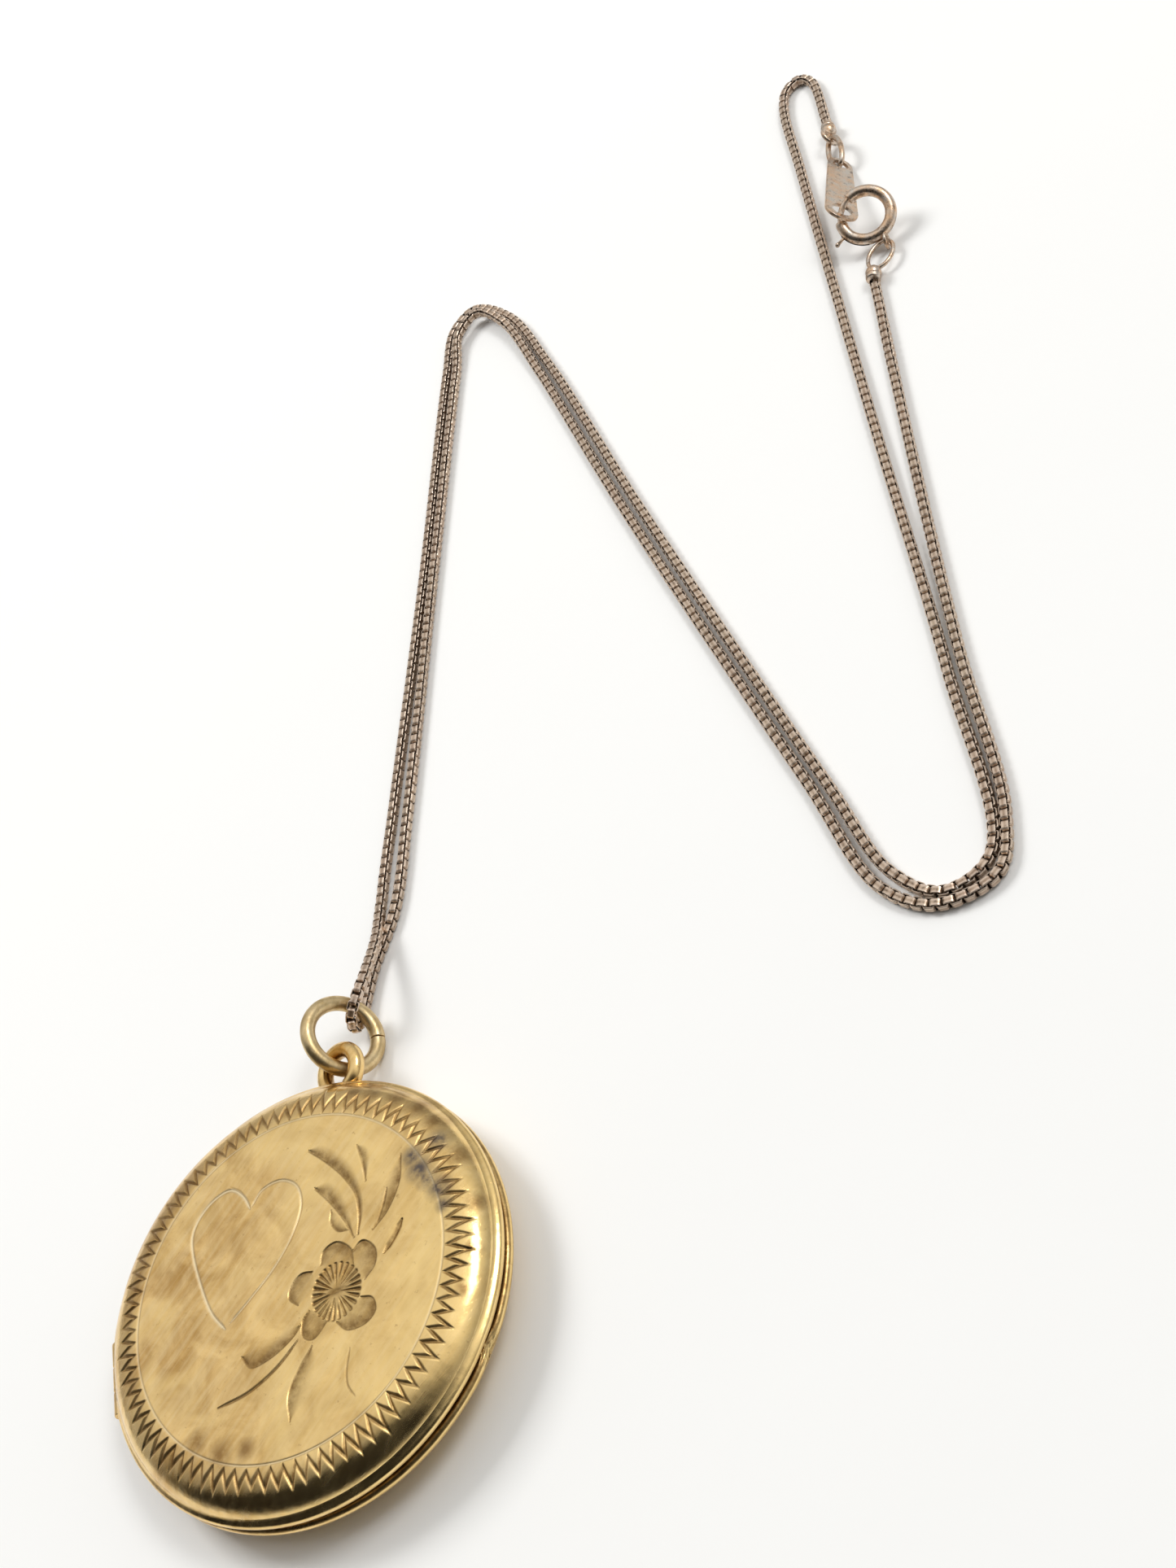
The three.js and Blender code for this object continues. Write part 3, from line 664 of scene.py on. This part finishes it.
def chain_tag():
    """A plain pear-shaped plate with a hole at each end and softened edges."""
    thick, edge = 0.3, 0.06
    length = np.linalg.norm(TAG_TOP - TAG_FOOT)
    wide, narrow = 1.5, 1.15
    wide_hole, narrow_hole = 0.9, 0.7
    lean = math.degrees(math.asin((wide - narrow) / length))
    rim = round_part(0, wide - edge, 180 - lean, 360 + lean, 40)
    rim += round_part(length, narrow - edge, lean, 180 - lean, 40)
    foot_hole = round_part(0, wide_hole + edge, 0, 354, 60)
    top_hole = round_part(length, narrow_hole + edge, 0, 354, 60)
    points, faces = flat_plate([rim, foot_hole, top_hole], thick, edge)
    bolt_way = np.cross(CLASP.normal, unit(TAG_FOOT - CLASP.centre))
    normal = unit(bolt_way - bolt_way.dot(TAG_ALONG) * TAG_ALONG)
    turn = np.column_stack([np.cross(TAG_ALONG, normal), TAG_ALONG, normal])
    piece = add_piece("tag_plate", TAG_FOOT + points @ turn.T, faces, ROSE, "tag", ["chain_tag"])
    piece.data.shade_smooth()
    piece.data.set_sharp_from_angle(angle=math.radians(35))


def oval_link():
    """The wire oval between the tag and the chain's end."""
    top = TAG_LOOP_CENTRE + 0.22 * TAG_CUP_WAY
    top[2] = 0.97
    foot = TAG_TOP + 0.2 * TAG_ALONG
    path, normal = oval((top + foot) / 2, top - foot, (0.8, 0.15, 0.58),
                        np.linalg.norm(top - foot) / 2, 0.85)
    wire = tube(path, 0.25, normal, 18, closed=True)
    add_piece("oval_link_wire", *wire, ROSE, "link", ["oval_link"])


def spring_ring():
    """The bent tube with its collar, the lever's dark slot, and the small eye."""
    bend = CLASP.arc(GAP_END + MOUTH_WEAR, GAP_START + 360 - MOUTH_WEAR, 90)
    path, radii = rounded_ends(bend, CLASP_TUBE_RADIUS, 0.1)
    bent_tube = tube(path, radii, CLASP.normal, 28)
    collar = tube(CLASP.arc(COLLAR_AT, COLLAR_AT + 2, 3), CLASP_TUBE_RADIUS + 0.02, CLASP.normal, 28)
    slot_path = CLASP.arc(SLOT_START, SLOT_END, 24, CLASP.radius + 0.42)
    slot = tube(slot_path, 0.125, CLASP.normal, 12)
    eye = Circle(EYE_CENTRE, RIGHT, UP, 0.6).wire(0.15, 40, 14)
    add_piece("clasp_ring", *join(bent_tube, collar), ROSE, "spring_ring", ["clasp_tube"])
    add_piece("clasp_slot", *slot, DARK, "spring_ring")
    add_piece("clasp_eye_wire", *eye, ROSE, "spring_ring", ["clasp_eye"])


def trigger():
    """The sprung bolt, with its lever and the lever's round knob."""
    bolt = tube(CLASP.arc(BOLT_TIP, BOLT_TAIL, 50), CLASP_BOLT_RADIUS, CLASP.normal, 20)
    stem_path = [CLASP.at(LEVER_AT, reach) for reach in (CLASP.radius, 2.9, 3.3)]
    stem = tube(stem_path, [0.12, 0.12, 0.16], CLASP.normal, 14)
    knob_radius, knob_reach = 0.21, 3.4
    turn = np.radians(np.linspace(-90, 90, 13))
    knob = turned([(knob_radius * math.cos(t), knob_radius * math.sin(t)) for t in turn], 24,
                  CLASP.at(LEVER_AT, knob_reach), CLASP.normal)
    add_piece("clasp_bolt", *join(bolt, stem, knob), ROSE, "trigger", ["clasp_trigger"])


clasp_piece = clasp_end()
tag_piece = tag_end()
chain_tag()
oval_link()
spring_ring()
trigger()

# ---------------- engraving
TEETH = 84
STEPS_PER_TOOTH = 16
BORDER_START = 12.4
BORDER_MIDDLE = 13
BORDER_SWING = 1.15
FLOWER = (4.2, -1.0)


def to_line(points, line):
    """Distance from each point to a line of short straight parts."""
    nearest = np.full(len(points), 1e9)
    for a, b in zip(line, line[1:]):
        way = b - a
        part = np.clip(((points - a) @ way) / max(way @ way, 1e-12), 0, 1)
        nearest = np.minimum(nearest, np.linalg.norm(points - a - part[:, None] * way, axis=1))
    return nearest


def inside(points, outline):
    """Which points lie inside a closed outline."""
    odd = np.zeros(len(points), bool)
    for (ax, ay), (bx, by) in zip(outline, np.roll(outline, -1, axis=0)):
        crosses = (ay > points[:, 1]) != (by > points[:, 1])
        at = ax + (points[:, 1] - ay) / (by - ay if by != ay else 1e-9) * (bx - ax)
        odd ^= crosses & (points[:, 0] < at)
    return odd


class Engraver:
    """Collects how deep each point of the flat face is cut, and how much painted shade and painted
    highlight each cut gets.
    """

    def __init__(self, points):
        self.points = points
        self.depth = np.zeros(len(points))
        self.cut_shade = np.zeros(len(points))
        self.bright = np.zeros(len(points))

    def near(self, line, reach):
        low, high = line.min(axis=0) - reach, line.max(axis=0) + reach
        return np.flatnonzero(np.all((self.points > low) & (self.points < high), axis=1))

    # The last number says how much of a cut is painted shade; the rest of it is painted highlight.
    def cut(self, index, depth, cut_shade=1.0):
        self.depth[index] = np.maximum(self.depth[index], depth)
        shown = np.clip(depth / 0.07, 0, 1)
        self.cut_shade[index] = np.maximum(self.cut_shade[index], cut_shade * shown)
        self.bright[index] = np.maximum(self.bright[index], (1 - cut_shade) * shown)

    def stroke(self, points, width, depth, taper=0.0, cut_shade=1.0):
        """A V-shaped line; taper thins it towards its ends."""
        line = smooth_line(points, 8)
        index = self.near(line, width)
        chosen = self.points[index]
        away = to_line(chosen, line)
        if taper:
            ends = np.minimum(np.linalg.norm(chosen - line[0], axis=1),
                              np.linalg.norm(chosen - line[-1], axis=1))
            width = width * np.clip(0.25 + ends / taper, 0.25, 1)
        self.cut(index, depth * np.clip(1 - away / (width / 2), 0, 1), cut_shade)

    def slant(self, shallow, deep, depth):
        """A bright cut that slopes from its shallow edge down to a steep deep edge."""
        shallow, deep = smooth_line(shallow, 8), smooth_line(deep, 8)
        outline = np.vstack([shallow, deep[::-1]])
        index = self.near(outline, 0.3)
        chosen = self.points[index]
        from_shallow, from_deep = to_line(chosen, shallow), to_line(chosen, deep)
        within = inside(chosen, outline)
        slope = from_shallow / (from_shallow + from_deep + 1e-6)
        self.cut(index, np.where(within, depth * slope ** 1.3,
                                 0.8 * depth * np.clip(1 - from_deep / 0.09, 0, 1)))


def engrave(cutter):
    """An open heart for initials on the left and a spray of flower and leaves on the right."""
    # the heart's two main lines are painted more as highlight than as shade
    cutter.stroke([(-4.2, 5.6), (-5.0, 6.6), (-6.2, 7.2), (-7.4, 6.7), (-8.4, 5.5), (-8.75, 4.2),
                   (-8.4, 2.8), (-7.2, 0.5), (-5.7, -1.7), (-4.3, -2.9)], 0.36, 0.08, 0.5, 0.0)
    cutter.stroke([(-4.1, 5.8), (-3.5, 6.9), (-2.0, 7.45), (-0.6, 6.9), (0.1, 5.5), (-0.1, 3.6),
                   (-1.1, 1.3), (-2.6, -0.8), (-4.0, -2.5)], 0.30, 0.07, 0.5, 0.2)
    cutter.stroke([(-4.4, 5.9), (-5.3, 7.0), (-6.3, 7.45)], 0.16, 0.035, 0.4)
    # leaves above the flower
    cutter.slant([(-0.1, 9.4), (0.7, 9.75), (2.1, 9.2), (3.7, 7.9), (4.8, 6.1), (5.3, 4.4), (5.2, 2.8)],
                 [(-0.1, 9.4), (1.5, 8.4), (3.2, 7.1), (4.5, 5.6), (5.0, 4.1), (5.2, 2.8)], 0.12)
    cutter.slant([(1.0, 6.5), (1.7, 6.9), (2.8, 6.5), (3.9, 5.1), (4.9, 2.6)],
                 [(1.0, 6.5), (2.5, 5.3), (3.8, 4.0), (4.9, 2.6)], 0.11)
    cutter.slant([(2.7, 4.7), (3.6, 4.2), (4.3, 3.2)],
                 [(2.7, 4.7), (2.8, 3.9), (3.5, 3.2), (4.3, 3.2)], 0.08)
    cutter.slant([(3.9, 9.3), (4.6, 9.2), (5.1, 8.4), (5.1, 6.6)],
                 [(3.9, 9.3), (4.5, 8.1), (5.1, 6.6)], 0.10)
    cutter.slant([(6.3, 3.0), (6.3, 4.6), (6.7, 6.6), (7.6, 8.2)],
                 [(6.3, 3.0), (7.2, 4.2), (7.8, 6.2), (7.6, 8.2)], 0.09)
    cutter.stroke([(6.9, 5.9), (6.8, 4.6), (6.5, 3.2)], 0.38, 0.10, 0.9)
    cutter.stroke([(8.5, 3.5), (8.1, 2.4), (7.5, 1.3)], 0.55, 0.14, 0.7)
    # petals round the flower's middle
    for petal in (
        [(2.6, 0.9), (2.6, 1.8), (3.5, 2.4), (4.8, 1.8), (5.2, 0.7)],
        [(4.9, 1.5), (5.6, 2.3), (6.7, 1.7), (6.9, 0.6), (6.3, -0.4)],
        [(6.2, -1.6), (7.1, -1.7), (7.5, -2.5), (7.0, -3.3), (5.6, -3.7), (4.6, -3.1)],
        [(2.3, -2.2), (1.9, -2.9), (2.2, -3.9), (3.0, -4.1), (3.9, -2.9)],
        [(2.0, 0.5), (1.1, 0.4), (0.45, -0.5), (0.5, -1.2), (1.3, -1.7)],
    ):
        chord = [petal[0], np.mean([petal[0], petal[-1], FLOWER], axis=0), petal[-1]]
        cutter.slant(chord, petal, 0.085)
    # leaves and stems below the flower
    cutter.slant([(1.8, -3.1), (0.3, -3.3), (-1.2, -4.0), (-2.5, -4.9)],
                 [(1.8, -3.1), (1.3, -3.9), (-0.1, -5.1), (-1.6, -5.65), (-2.5, -4.9)], 0.09)
    cutter.stroke([(1.8, -4.1), (0.5, -5.8), (-1.4, -7.3), (-3.7, -8.2)], 0.30, 0.09, 1.2)
    cutter.slant([(3.0, -4.6), (3.5, -5.8), (3.3, -7.7), (2.3, -9.4)],
                 [(3.0, -4.6), (2.2, -6.2), (1.8, -7.8), (2.3, -9.4)], 0.08)
    cutter.stroke([(6.0, -4.9), (6.0, -6.4), (6.3, -7.4), (7.0, -8.1)], 0.24, 0.05, 0.9)


def flower_middle(points):
    """Radiating cuts of uneven length round the flower's middle, in a shallow dished oval."""
    half_wide, half_high, tilt = 1.95, 2.1, math.radians(15)
    x, y = points[:, 0] - FLOWER[0], points[:, 1] - FLOWER[1]
    across = (x * math.cos(tilt) + y * math.sin(tilt)) / half_wide
    up = (y * math.cos(tilt) - x * math.sin(tilt)) / half_high
    reach, turn = np.hypot(across, up), np.arctan2(up, across)
    cuts = 25
    wave = np.abs(((turn * cuts / (2 * np.pi) + 0.12 * np.sin(3 * turn)) % 1) * 2 - 1)
    length = 0.28 + 0.13 * np.sin(7 * turn) + 0.07 * np.sin(11 * turn + 1)
    blade = np.clip((reach - length) / 0.25, 0, 1) * np.clip((1.0 - reach) / 0.06, 0, 1)
    dish = 0.03 * np.clip((1.02 - reach) / 0.1, 0, 1)
    slit = np.exp(-(up / 0.09) ** 2) * np.clip(1 - np.abs(across) / 0.6, 0, 1)
    return dish + 0.10 * blade * np.clip(1.35 * wave - 0.35, 0, 1) + 0.06 * slit


def border_depth(radius, angle):
    """The bright-cut zigzag: a line that swings between two circles, by hand and so unevenly."""
    phase = (angle * TEETH / (2 * np.pi)) % 1
    uneven = 1 + 0.10 * np.sin(5 * angle) + 0.09 * np.sin(13 * angle) + 0.07 * np.sin(37 * angle)
    swing = BORDER_SWING * uneven
    fold = np.abs(2 * phase - 1)
    middle = BORDER_START + swing * fold
    leaning = np.cos(np.arctan(swing * TEETH / (math.pi * BORDER_MIDDLE)))
    away = (radius - middle) * leaning
    wide = 0.13 + 0.05 * fold
    deep = 0.13 * (1 + 0.25 * np.sin(29 * angle) * np.sin(11 * angle))
    return deep * np.clip(1 - np.abs(away) / wide, 0, 1)


# ---------------- covers


def dome(inner_radius, reach, flat_z, drop, turn_degrees, steps):
    """A profile that curves out and down (or up) from the edge of a flat."""
    turn = np.radians(np.linspace(0, turn_degrees, steps))
    return np.column_stack([inner_radius + reach * np.sin(turn), flat_z + drop * (1 - np.cos(turn))])


def bead(radius, z, start, end, steps=14):
    """The profile of a rolled edge, from one angle round it to another."""
    turn = np.radians(np.linspace(start, end, steps))
    return np.column_stack([radius + BEAD_RADIUS * np.cos(turn), z + BEAD_RADIUS * np.sin(turn)])


def in_radial_frame(points, angle):
    """How far out and how far along the tangent the points lie, seen from a place on the rim."""
    out = points[:, 0] * math.cos(angle) + points[:, 1] * math.sin(angle)
    along = points[:, 1] * math.cos(angle) - points[:, 0] * math.sin(angle)
    return out, along


def relieve_hinge(points):
    """Flattens the rim beside the hinge and sinks the pocket that the barrel lies in."""
    flat_reach, pocket_reach = 15.1, 14.5
    out, along = in_radial_frame(points, HINGE_ANGLE)
    beside = (np.abs(along) < HINGE_LENGTH / 2 + 0.25) & (out > 14.3)
    pocket = beside & (np.abs(points[:, 2] - SEAM_Z) < 0.62)
    limit = np.where(pocket, pocket_reach, np.where(beside, flat_reach, np.inf))
    back = np.maximum(out - limit, 0)
    points[:, 0] -= back * math.cos(HINGE_ANGLE)
    points[:, 1] -= back * math.sin(HINGE_ANGLE)


def blob(points, centre, radius):
    """A soft round mask in the locket's plane."""
    away = np.hypot(points[:, 0] - centre[0], points[:, 1] - centre[1])
    return np.clip(1.25 * (1 - away / radius), 0, 1)


def polish(points):
    """Where wear has kept the metal bright: the bevel outside the border, and the rolled edges."""
    return np.clip((np.hypot(points[:, 0], points[:, 1]) - 13.5) / 0.4, 0, 1)


def front_profile():
    """The front cover's section, and how many of its points are on top."""
    flat = np.column_stack([np.linspace(0, FLAT_RADIUS, 190), np.full(190, THICKNESS)])
    bevel = dome(FLAT_RADIUS, 3.03, THICKNESS, -1.95, 74, 64)[1:]
    rim = bead(LOCKET_RADIUS - 0.05 - BEAD_RADIUS, FRONT_BOTTOM + EDGE_WEAR + BEAD_RADIUS, 70, -90)
    inner_wall = SNAP_RADIUS + 0.15
    roof = THICKNESS - SHEET
    under = dome(FLAT_RADIUS - 0.15, inner_wall - FLAT_RADIUS + 0.15, roof, -1.2, 90, 8)[::-1]
    under = np.vstack([[inner_wall, FRONT_BOTTOM], under, [0, roof]])
    return np.vstack([flat, bevel, rim, under]), len(flat) + len(bevel)


def cut_face(plane, radius, angle):
    """All that is cut into the front cover."""
    cutter = Engraver(plane)
    everywhere = np.arange(len(plane))
    engrave(cutter)
    cutter.cut(everywhere, np.where(radius < FLAT_RADIUS - 0.15, flower_middle(plane), 0))
    # a shallow line round the flat's edge, painted mostly as highlight
    cutter.cut(everywhere, 0.05 * np.clip(1 - np.abs(radius - FLAT_RADIUS) / 0.12, 0, 1), 0.1)
    cutter.cut(everywhere, border_depth(radius, angle))
    return cutter


def worn_waves(plane):
    """The slow unevenness of a worn flat."""
    waves = 0.010 * np.sin(0.55 * plane[:, 0] + 1) * np.sin(0.43 * plane[:, 1] + 2)
    return waves + 0.004 * np.sin(1.3 * plane[:, 0] - 0.9 * plane[:, 1])


def front_stains(points, radius, angle):
    """Blue-grey tarnishing at the upper right, and brown spots and a crease along the border."""
    blue_spots = ((8.6, 7.9, 1.1), (9.3, 6.9, 1.3), (10.0, 6.2, 1.1), (11.0, 5.4, 1.2),
                  (11.6, 4.2, 0.8), (10.3, 9.0, 1.1))
    brown_spots = ((2.6, 13.4, 1.0), (4.2, 13.2, 1.3), (6.0, 12.6, 1.3), (8.0, 11.9, 1.5),
                   (9.6, 10.6, 1.3), (-4.8, -10.2, 1.0), (-0.8, -11.0, 1.0), (-2.8, -11.3, 1.3),
                   (11.8, 7.8, 1.2), (13.6, 4.4, 0.9), (14.0, 1.2, 0.8), (13.7, -1.6, 0.7))
    blue = np.maximum.reduce([blob(points, (x, y), reach) for x, y, reach in blue_spots])
    brown = np.maximum.reduce([0.85 * blob(points, (x, y), reach) for x, y, reach in brown_spots])
    crease = 0.55 * np.clip(1 - np.abs(radius - 12.9), 0, 1) * (0.6 + 0.4 * np.sin(angle - 0.5))
    top = slice(len(radius))
    brown[top] = np.maximum(brown[top], crease)
    return blue, brown


def front_cover():
    """The engraved cover, with its marks for the paint."""
    steps = TEETH * STEPS_PER_TOOTH
    profile, top_rows = front_profile()
    points, faces = lathe(profile, steps)
    top = slice(top_rows * steps)
    plane = points[top, :2].copy()
    radius, angle = np.hypot(*plane.T), np.arctan2(plane[:, 1], plane[:, 0])
    cutter = cut_face(plane, radius, angle)
    points[top, 2] -= cutter.depth + worn_waves(plane) + 0.011
    nick_out, nick_along = in_radial_frame(points, NICK_ANGLE)
    dent = np.exp(-(nick_along / 0.9) ** 2) * np.clip((nick_out - 15.0) / 0.4, 0, 1)
    points[:, 2] += 0.06 * dent
    relieve_hinge(points)
    # painted shade on the rolled edge next to the seam; on the face, painted shade in the engraved cuts
    seam = np.clip((FRONT_BOTTOM + 0.36 - points[:, 2]) / 0.1, 0, 1)
    groove_shade = seam * (np.hypot(points[:, 0], points[:, 1]) > 14.6)
    groove_shade[top] = cutter.cut_shade
    # painted highlight on the cuts that have one
    bright = np.zeros(len(points))
    bright[top] = cutter.bright
    blue, brown = front_stains(points, radius, angle)
    add_piece("engraved_cover", points, faces, MARKED_GOLD, "case_front", ["front_cover"],
              marks={"groove_shade": groove_shade, "painted_highlight": bright, "blue_tarnish": blue,
                     "brown_tarnish_and_shade": brown, "polish": polish(points)})


def back_profile():
    """The back cover's section, with the snap rim."""
    inner_wall = SNAP_RADIUS - SNAP_WALL
    rim_top = SEAM_Z + SNAP_HEIGHT
    flat = np.column_stack([np.linspace(0, FLAT_RADIUS, 12), np.zeros(12)])
    bevel = dome(FLAT_RADIUS, 3.08, 0, 2.35, 74, 28)[1:]
    rim = bead(LOCKET_RADIUS - BEAD_RADIUS, BACK_TOP - EDGE_WEAR - BEAD_RADIUS, -70, 90, 22)
    snap = [[SNAP_RADIUS, BACK_TOP], [SNAP_RADIUS, rim_top - 0.06], [SNAP_RADIUS - 0.06, rim_top],
            [inner_wall + 0.06, rim_top], [inner_wall, rim_top - 0.06]]
    inside_dome = dome(FLAT_RADIUS - 0.3, inner_wall - FLAT_RADIUS + 0.3, SHEET, 1.5, 90, 8)[::-1]
    return np.vstack([flat, bevel, rim, snap, inside_dome, [0, SHEET]])


def back_cover():
    """The plain back, its rim chewed a little at the thumb nick."""
    points, faces = lathe(back_profile(), 480)
    faces = [tuple(reversed(face)) for face in faces]
    out, along = in_radial_frame(points, NICK_ANGLE)
    worn = np.exp(-(along / 1.0) ** 2) * np.clip((out - 15.0) / 0.3, 0, 1)
    worn *= np.clip((points[:, 2] - 1.9) / 0.3, 0, 1)
    rough = rng.uniform(0, 1, len(points))
    points[:, :2] *= (1 - worn * (0.010 + 0.008 * rough))[:, None]
    points[:, 2] -= worn * 0.10 * rough
    relieve_hinge(points)
    # painted shade on the rolled edge next to the seam
    groove_shade = np.clip((points[:, 2] - BACK_TOP + 0.34) / 0.1, 0, 1)
    # browner towards the top of the back's side, stopping just under the rolled edge
    brown = 0.5 * np.clip((points[:, 2] - 1.0) / 1.2, 0, 1) * (points[:, 2] < BACK_TOP - 0.5)
    add_piece("back_shell", points, faces, MARKED_GOLD, "case_back", ["back_cover"],
              marks={"groove_shade": groove_shade, "brown_tarnish_and_shade": brown, "polish": polish(points)})


def hinge():
    """Three barrels with softened ends, each with its leaf, on one steel pin."""
    out = np.array([math.cos(HINGE_ANGLE), math.sin(HINGE_ANGLE), 0.0])
    along = np.array([-math.sin(HINGE_ANGLE), math.cos(HINGE_ANGLE), 0.0])
    middle = out * HINGE_REACH + UP * SEAM_Z
    pitch = KNUCKLE_LENGTH + KNUCKLE_GAP
    owners = (("hinge_knuckle_back_a", "case_back", -1), ("hinge_knuckle_front", "case_front", 1),
              ("hinge_knuckle_back_b", "case_back", -1))
    for i, (node, body, side) in enumerate(owners):
        start = -HINGE_LENGTH / 2 + i * pitch
        line = middle + np.outer(start + KNUCKLE_LENGTH * np.linspace(0, 1, 6), along)
        path, radii = rounded_ends(line, BARREL_RADIUS, 0.07)
        barrel = tube(path, radii, UP, 28)
        leaf_line = middle + np.outer(start + KNUCKLE_LENGTH * np.array([0.02, 0.98]), along)
        leaf = tube(leaf_line - out * 0.4 + UP * side * 0.33, 0.2, UP, 12)
        add_piece(node + "_barrel", *join(barrel, leaf), GOLD, body, [node])


def bail():
    """The thick loop at the top, with painted shade on its inside, and the pad that solders it to the
    rim.
    """
    ring = Circle((-0.55, 16.8, 2.75), (-0.22, -0.15, 0.96), (0, 1, 0), 1.6)
    path = ring.arc(-144, 144, 72)
    loop = tube(path, BAIL_WIRE, ring.normal, 32)
    pad_line = np.array([[x, 15.85, 2.2] for x in np.linspace(-2.5, 1.1, 12)])
    path, radii = rounded_ends(pad_line, 0.34, 0.25)
    points, faces = join(loop, tube(path, radii, UP, 20))
    # painted shade: darkest on the loop's inside face
    inward = ring.radius - np.linalg.norm(points - ring.centre, axis=1)
    shade = np.clip((inward - 0.1) / (BAIL_WIRE - 0.1), 0, 1)
    add_piece("bail_wire", points, faces, MARKED_GOLD, "case_back", ["bail_loop"],
              marks={"brown_tarnish_and_shade": shade, "polish": np.ones(len(points))})


def jump_ring():
    """The thick cut ring, its wire drawn a little unevenly."""
    centre, slit = np.array([-0.92, 19.68, 2.75]), np.array([0.62, 20.3, 0.64])
    ring = Circle(centre, (0.79, 0.087, 0.604), slit - centre, RING_RADIUS)
    half_gap = math.degrees(0.04 / RING_RADIUS)
    path, radii = rounded_ends(ring.arc(half_gap, 360 - half_gap, 140), RING_WIRE, 0.05)
    radii = radii * (1 + 0.012 * np.sin(np.linspace(0, 23, len(radii))))
    wire = tube(path, radii, ring.normal, 32)
    add_piece("jump_ring_wire", *wire, BRASS, "ring", ["jump_ring"])


def photo_frames():
    """Rolled bezel rings that hold the clear films, from sections of [radius, height]."""
    steps = 240
    back = np.array([(11.7, 1.65), (13.4, 1.8), (13.6, 2.1), (12.6, 2.45), (11.7, 2.3), (11.7, 1.65)])
    front = np.array([(11.7, 3.6), (14.05, 3.55), (14.05, 3.85), (13.4, 4.15), (11.7, 4.15), (11.7, 3.6)])
    for name, body, section in (("back_bezel", "case_back", back), ("front_bezel", "case_front", front)):
        outline = []
        for a, b in zip(section, section[1:]):
            outline += [a + (b - a) * 0.12, a + (b - a) * 0.88]
        points = lathe_points(np.array(outline), steps)
        faces = [tuple(reversed(face)) for face in band_faces(len(outline), steps, wrap_rows=True)]
        piece = add_piece(name + "_ring", points, faces, GOLD, body, [name])
        piece.data.set_sharp_from_angle(angle=math.radians(40))


front_cover()
back_cover()
hinge()
bail()
jump_ring()
photo_frames()
for node, material in (("back_window", FILM), ("front_window", FILM), ("hinge_pin", STEEL),
                       ("clasp_spring", STEEL)):
    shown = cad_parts[node]
    shown.data.materials.clear()
    shown.data.materials.append(material)


# ---------------- floor and light
def floor():
    """A pale floor, wide enough to fill the picture."""
    half = 1500.0
    corners = [(-half, -half, 0), (half, -half, 0), (half, half, 0), (-half, half, 0)]
    ground = add_piece("floor", corners, [(0, 1, 2, 3)], floor_paint(), None, smooth=False)


def soft_box(name, place, target, width, height, power, mirrored=True):
    """A lamp; one that isn't mirrored lights the floor and casts shadows but leaves no glare."""
    data = bpy.data.lights.new(name, "AREA")
    data.shape = "RECTANGLE"
    data.size, data.size_y = width, height
    data.energy = power
    lamp = bpy.data.objects.new(name, data)
    lamp.location = place
    lamp.visible_glossy = mirrored
    lamp.rotation_mode = "QUATERNION"
    lamp.rotation_quaternion = (Vector(target) - Vector(place)).to_track_quat("-Z", "Y")
    bpy.context.scene.collection.objects.link(lamp)


def sky():
    """A pale room: bright overhead, dimmer to the sides, with a dark band on the near side."""
    world = bpy.data.worlds.new("room")
    world.use_nodes = True
    tree = world.node_tree
    background = tree.nodes["Background"]
    way = tree.nodes.new("ShaderNodeTexCoord").outputs["Generated"]

    def ramp(value, *limits):
        made = tree.nodes.new("ShaderNodeMapRange")
        made.interpolation_type = "SMOOTHSTEP"
        tree.links.new(value, made.inputs["Value"])
        for key, number in zip(("From Min", "From Max", "To Min", "To Max"), limits):
            made.inputs[key].default_value = number
        return made.outputs["Result"]

    def facing(direction):
        made = tree.nodes.new("ShaderNodeVectorMath")
        made.operation = "DOT_PRODUCT"
        tree.links.new(way, made.inputs[0])
        made.inputs[1].default_value = tuple(unit(direction))
        return made.outputs["Value"]

    def calculate(operation, a, b):
        made = tree.nodes.new("ShaderNodeMath")
        made.operation = operation
        tree.links.new(a, made.inputs[0])
        tree.links.new(b, made.inputs[1])
        return made.outputs[0]

    height = ramp(facing((0, 0, 1)), 0.0, 1.0, 0.40, 0.98)
    near_side = ramp(facing((-0.12, -0.96, 0.26)), 0.18, 0.62, 0.0, 0.97)
    above_wall = ramp(facing((0, 0, 1)), 0.06, 0.24, 0.0, 1.0)
    shade = calculate("MULTIPLY", height, calculate("MULTIPLY", near_side, above_wall))
    tree.links.new(calculate("SUBTRACT", height, shade), background.inputs["Strength"])
    background.inputs["Color"].default_value = (1.0, 0.99, 0.97, 1)
    bpy.context.scene.world = world


floor()
sky()
soft_box("key", place=(-0.5, 0.35, 0.6), target=(0.01, 0.04, 0), width=0.3, height=0.3, power=3.8,
         mirrored=False)
soft_box("fill", place=(0.42, 0.30, 0.62), target=(0.0, 0.0, 0), width=0.3, height=0.22, power=1.6)
bpy.context.scene.view_settings.view_transform = "Standard"
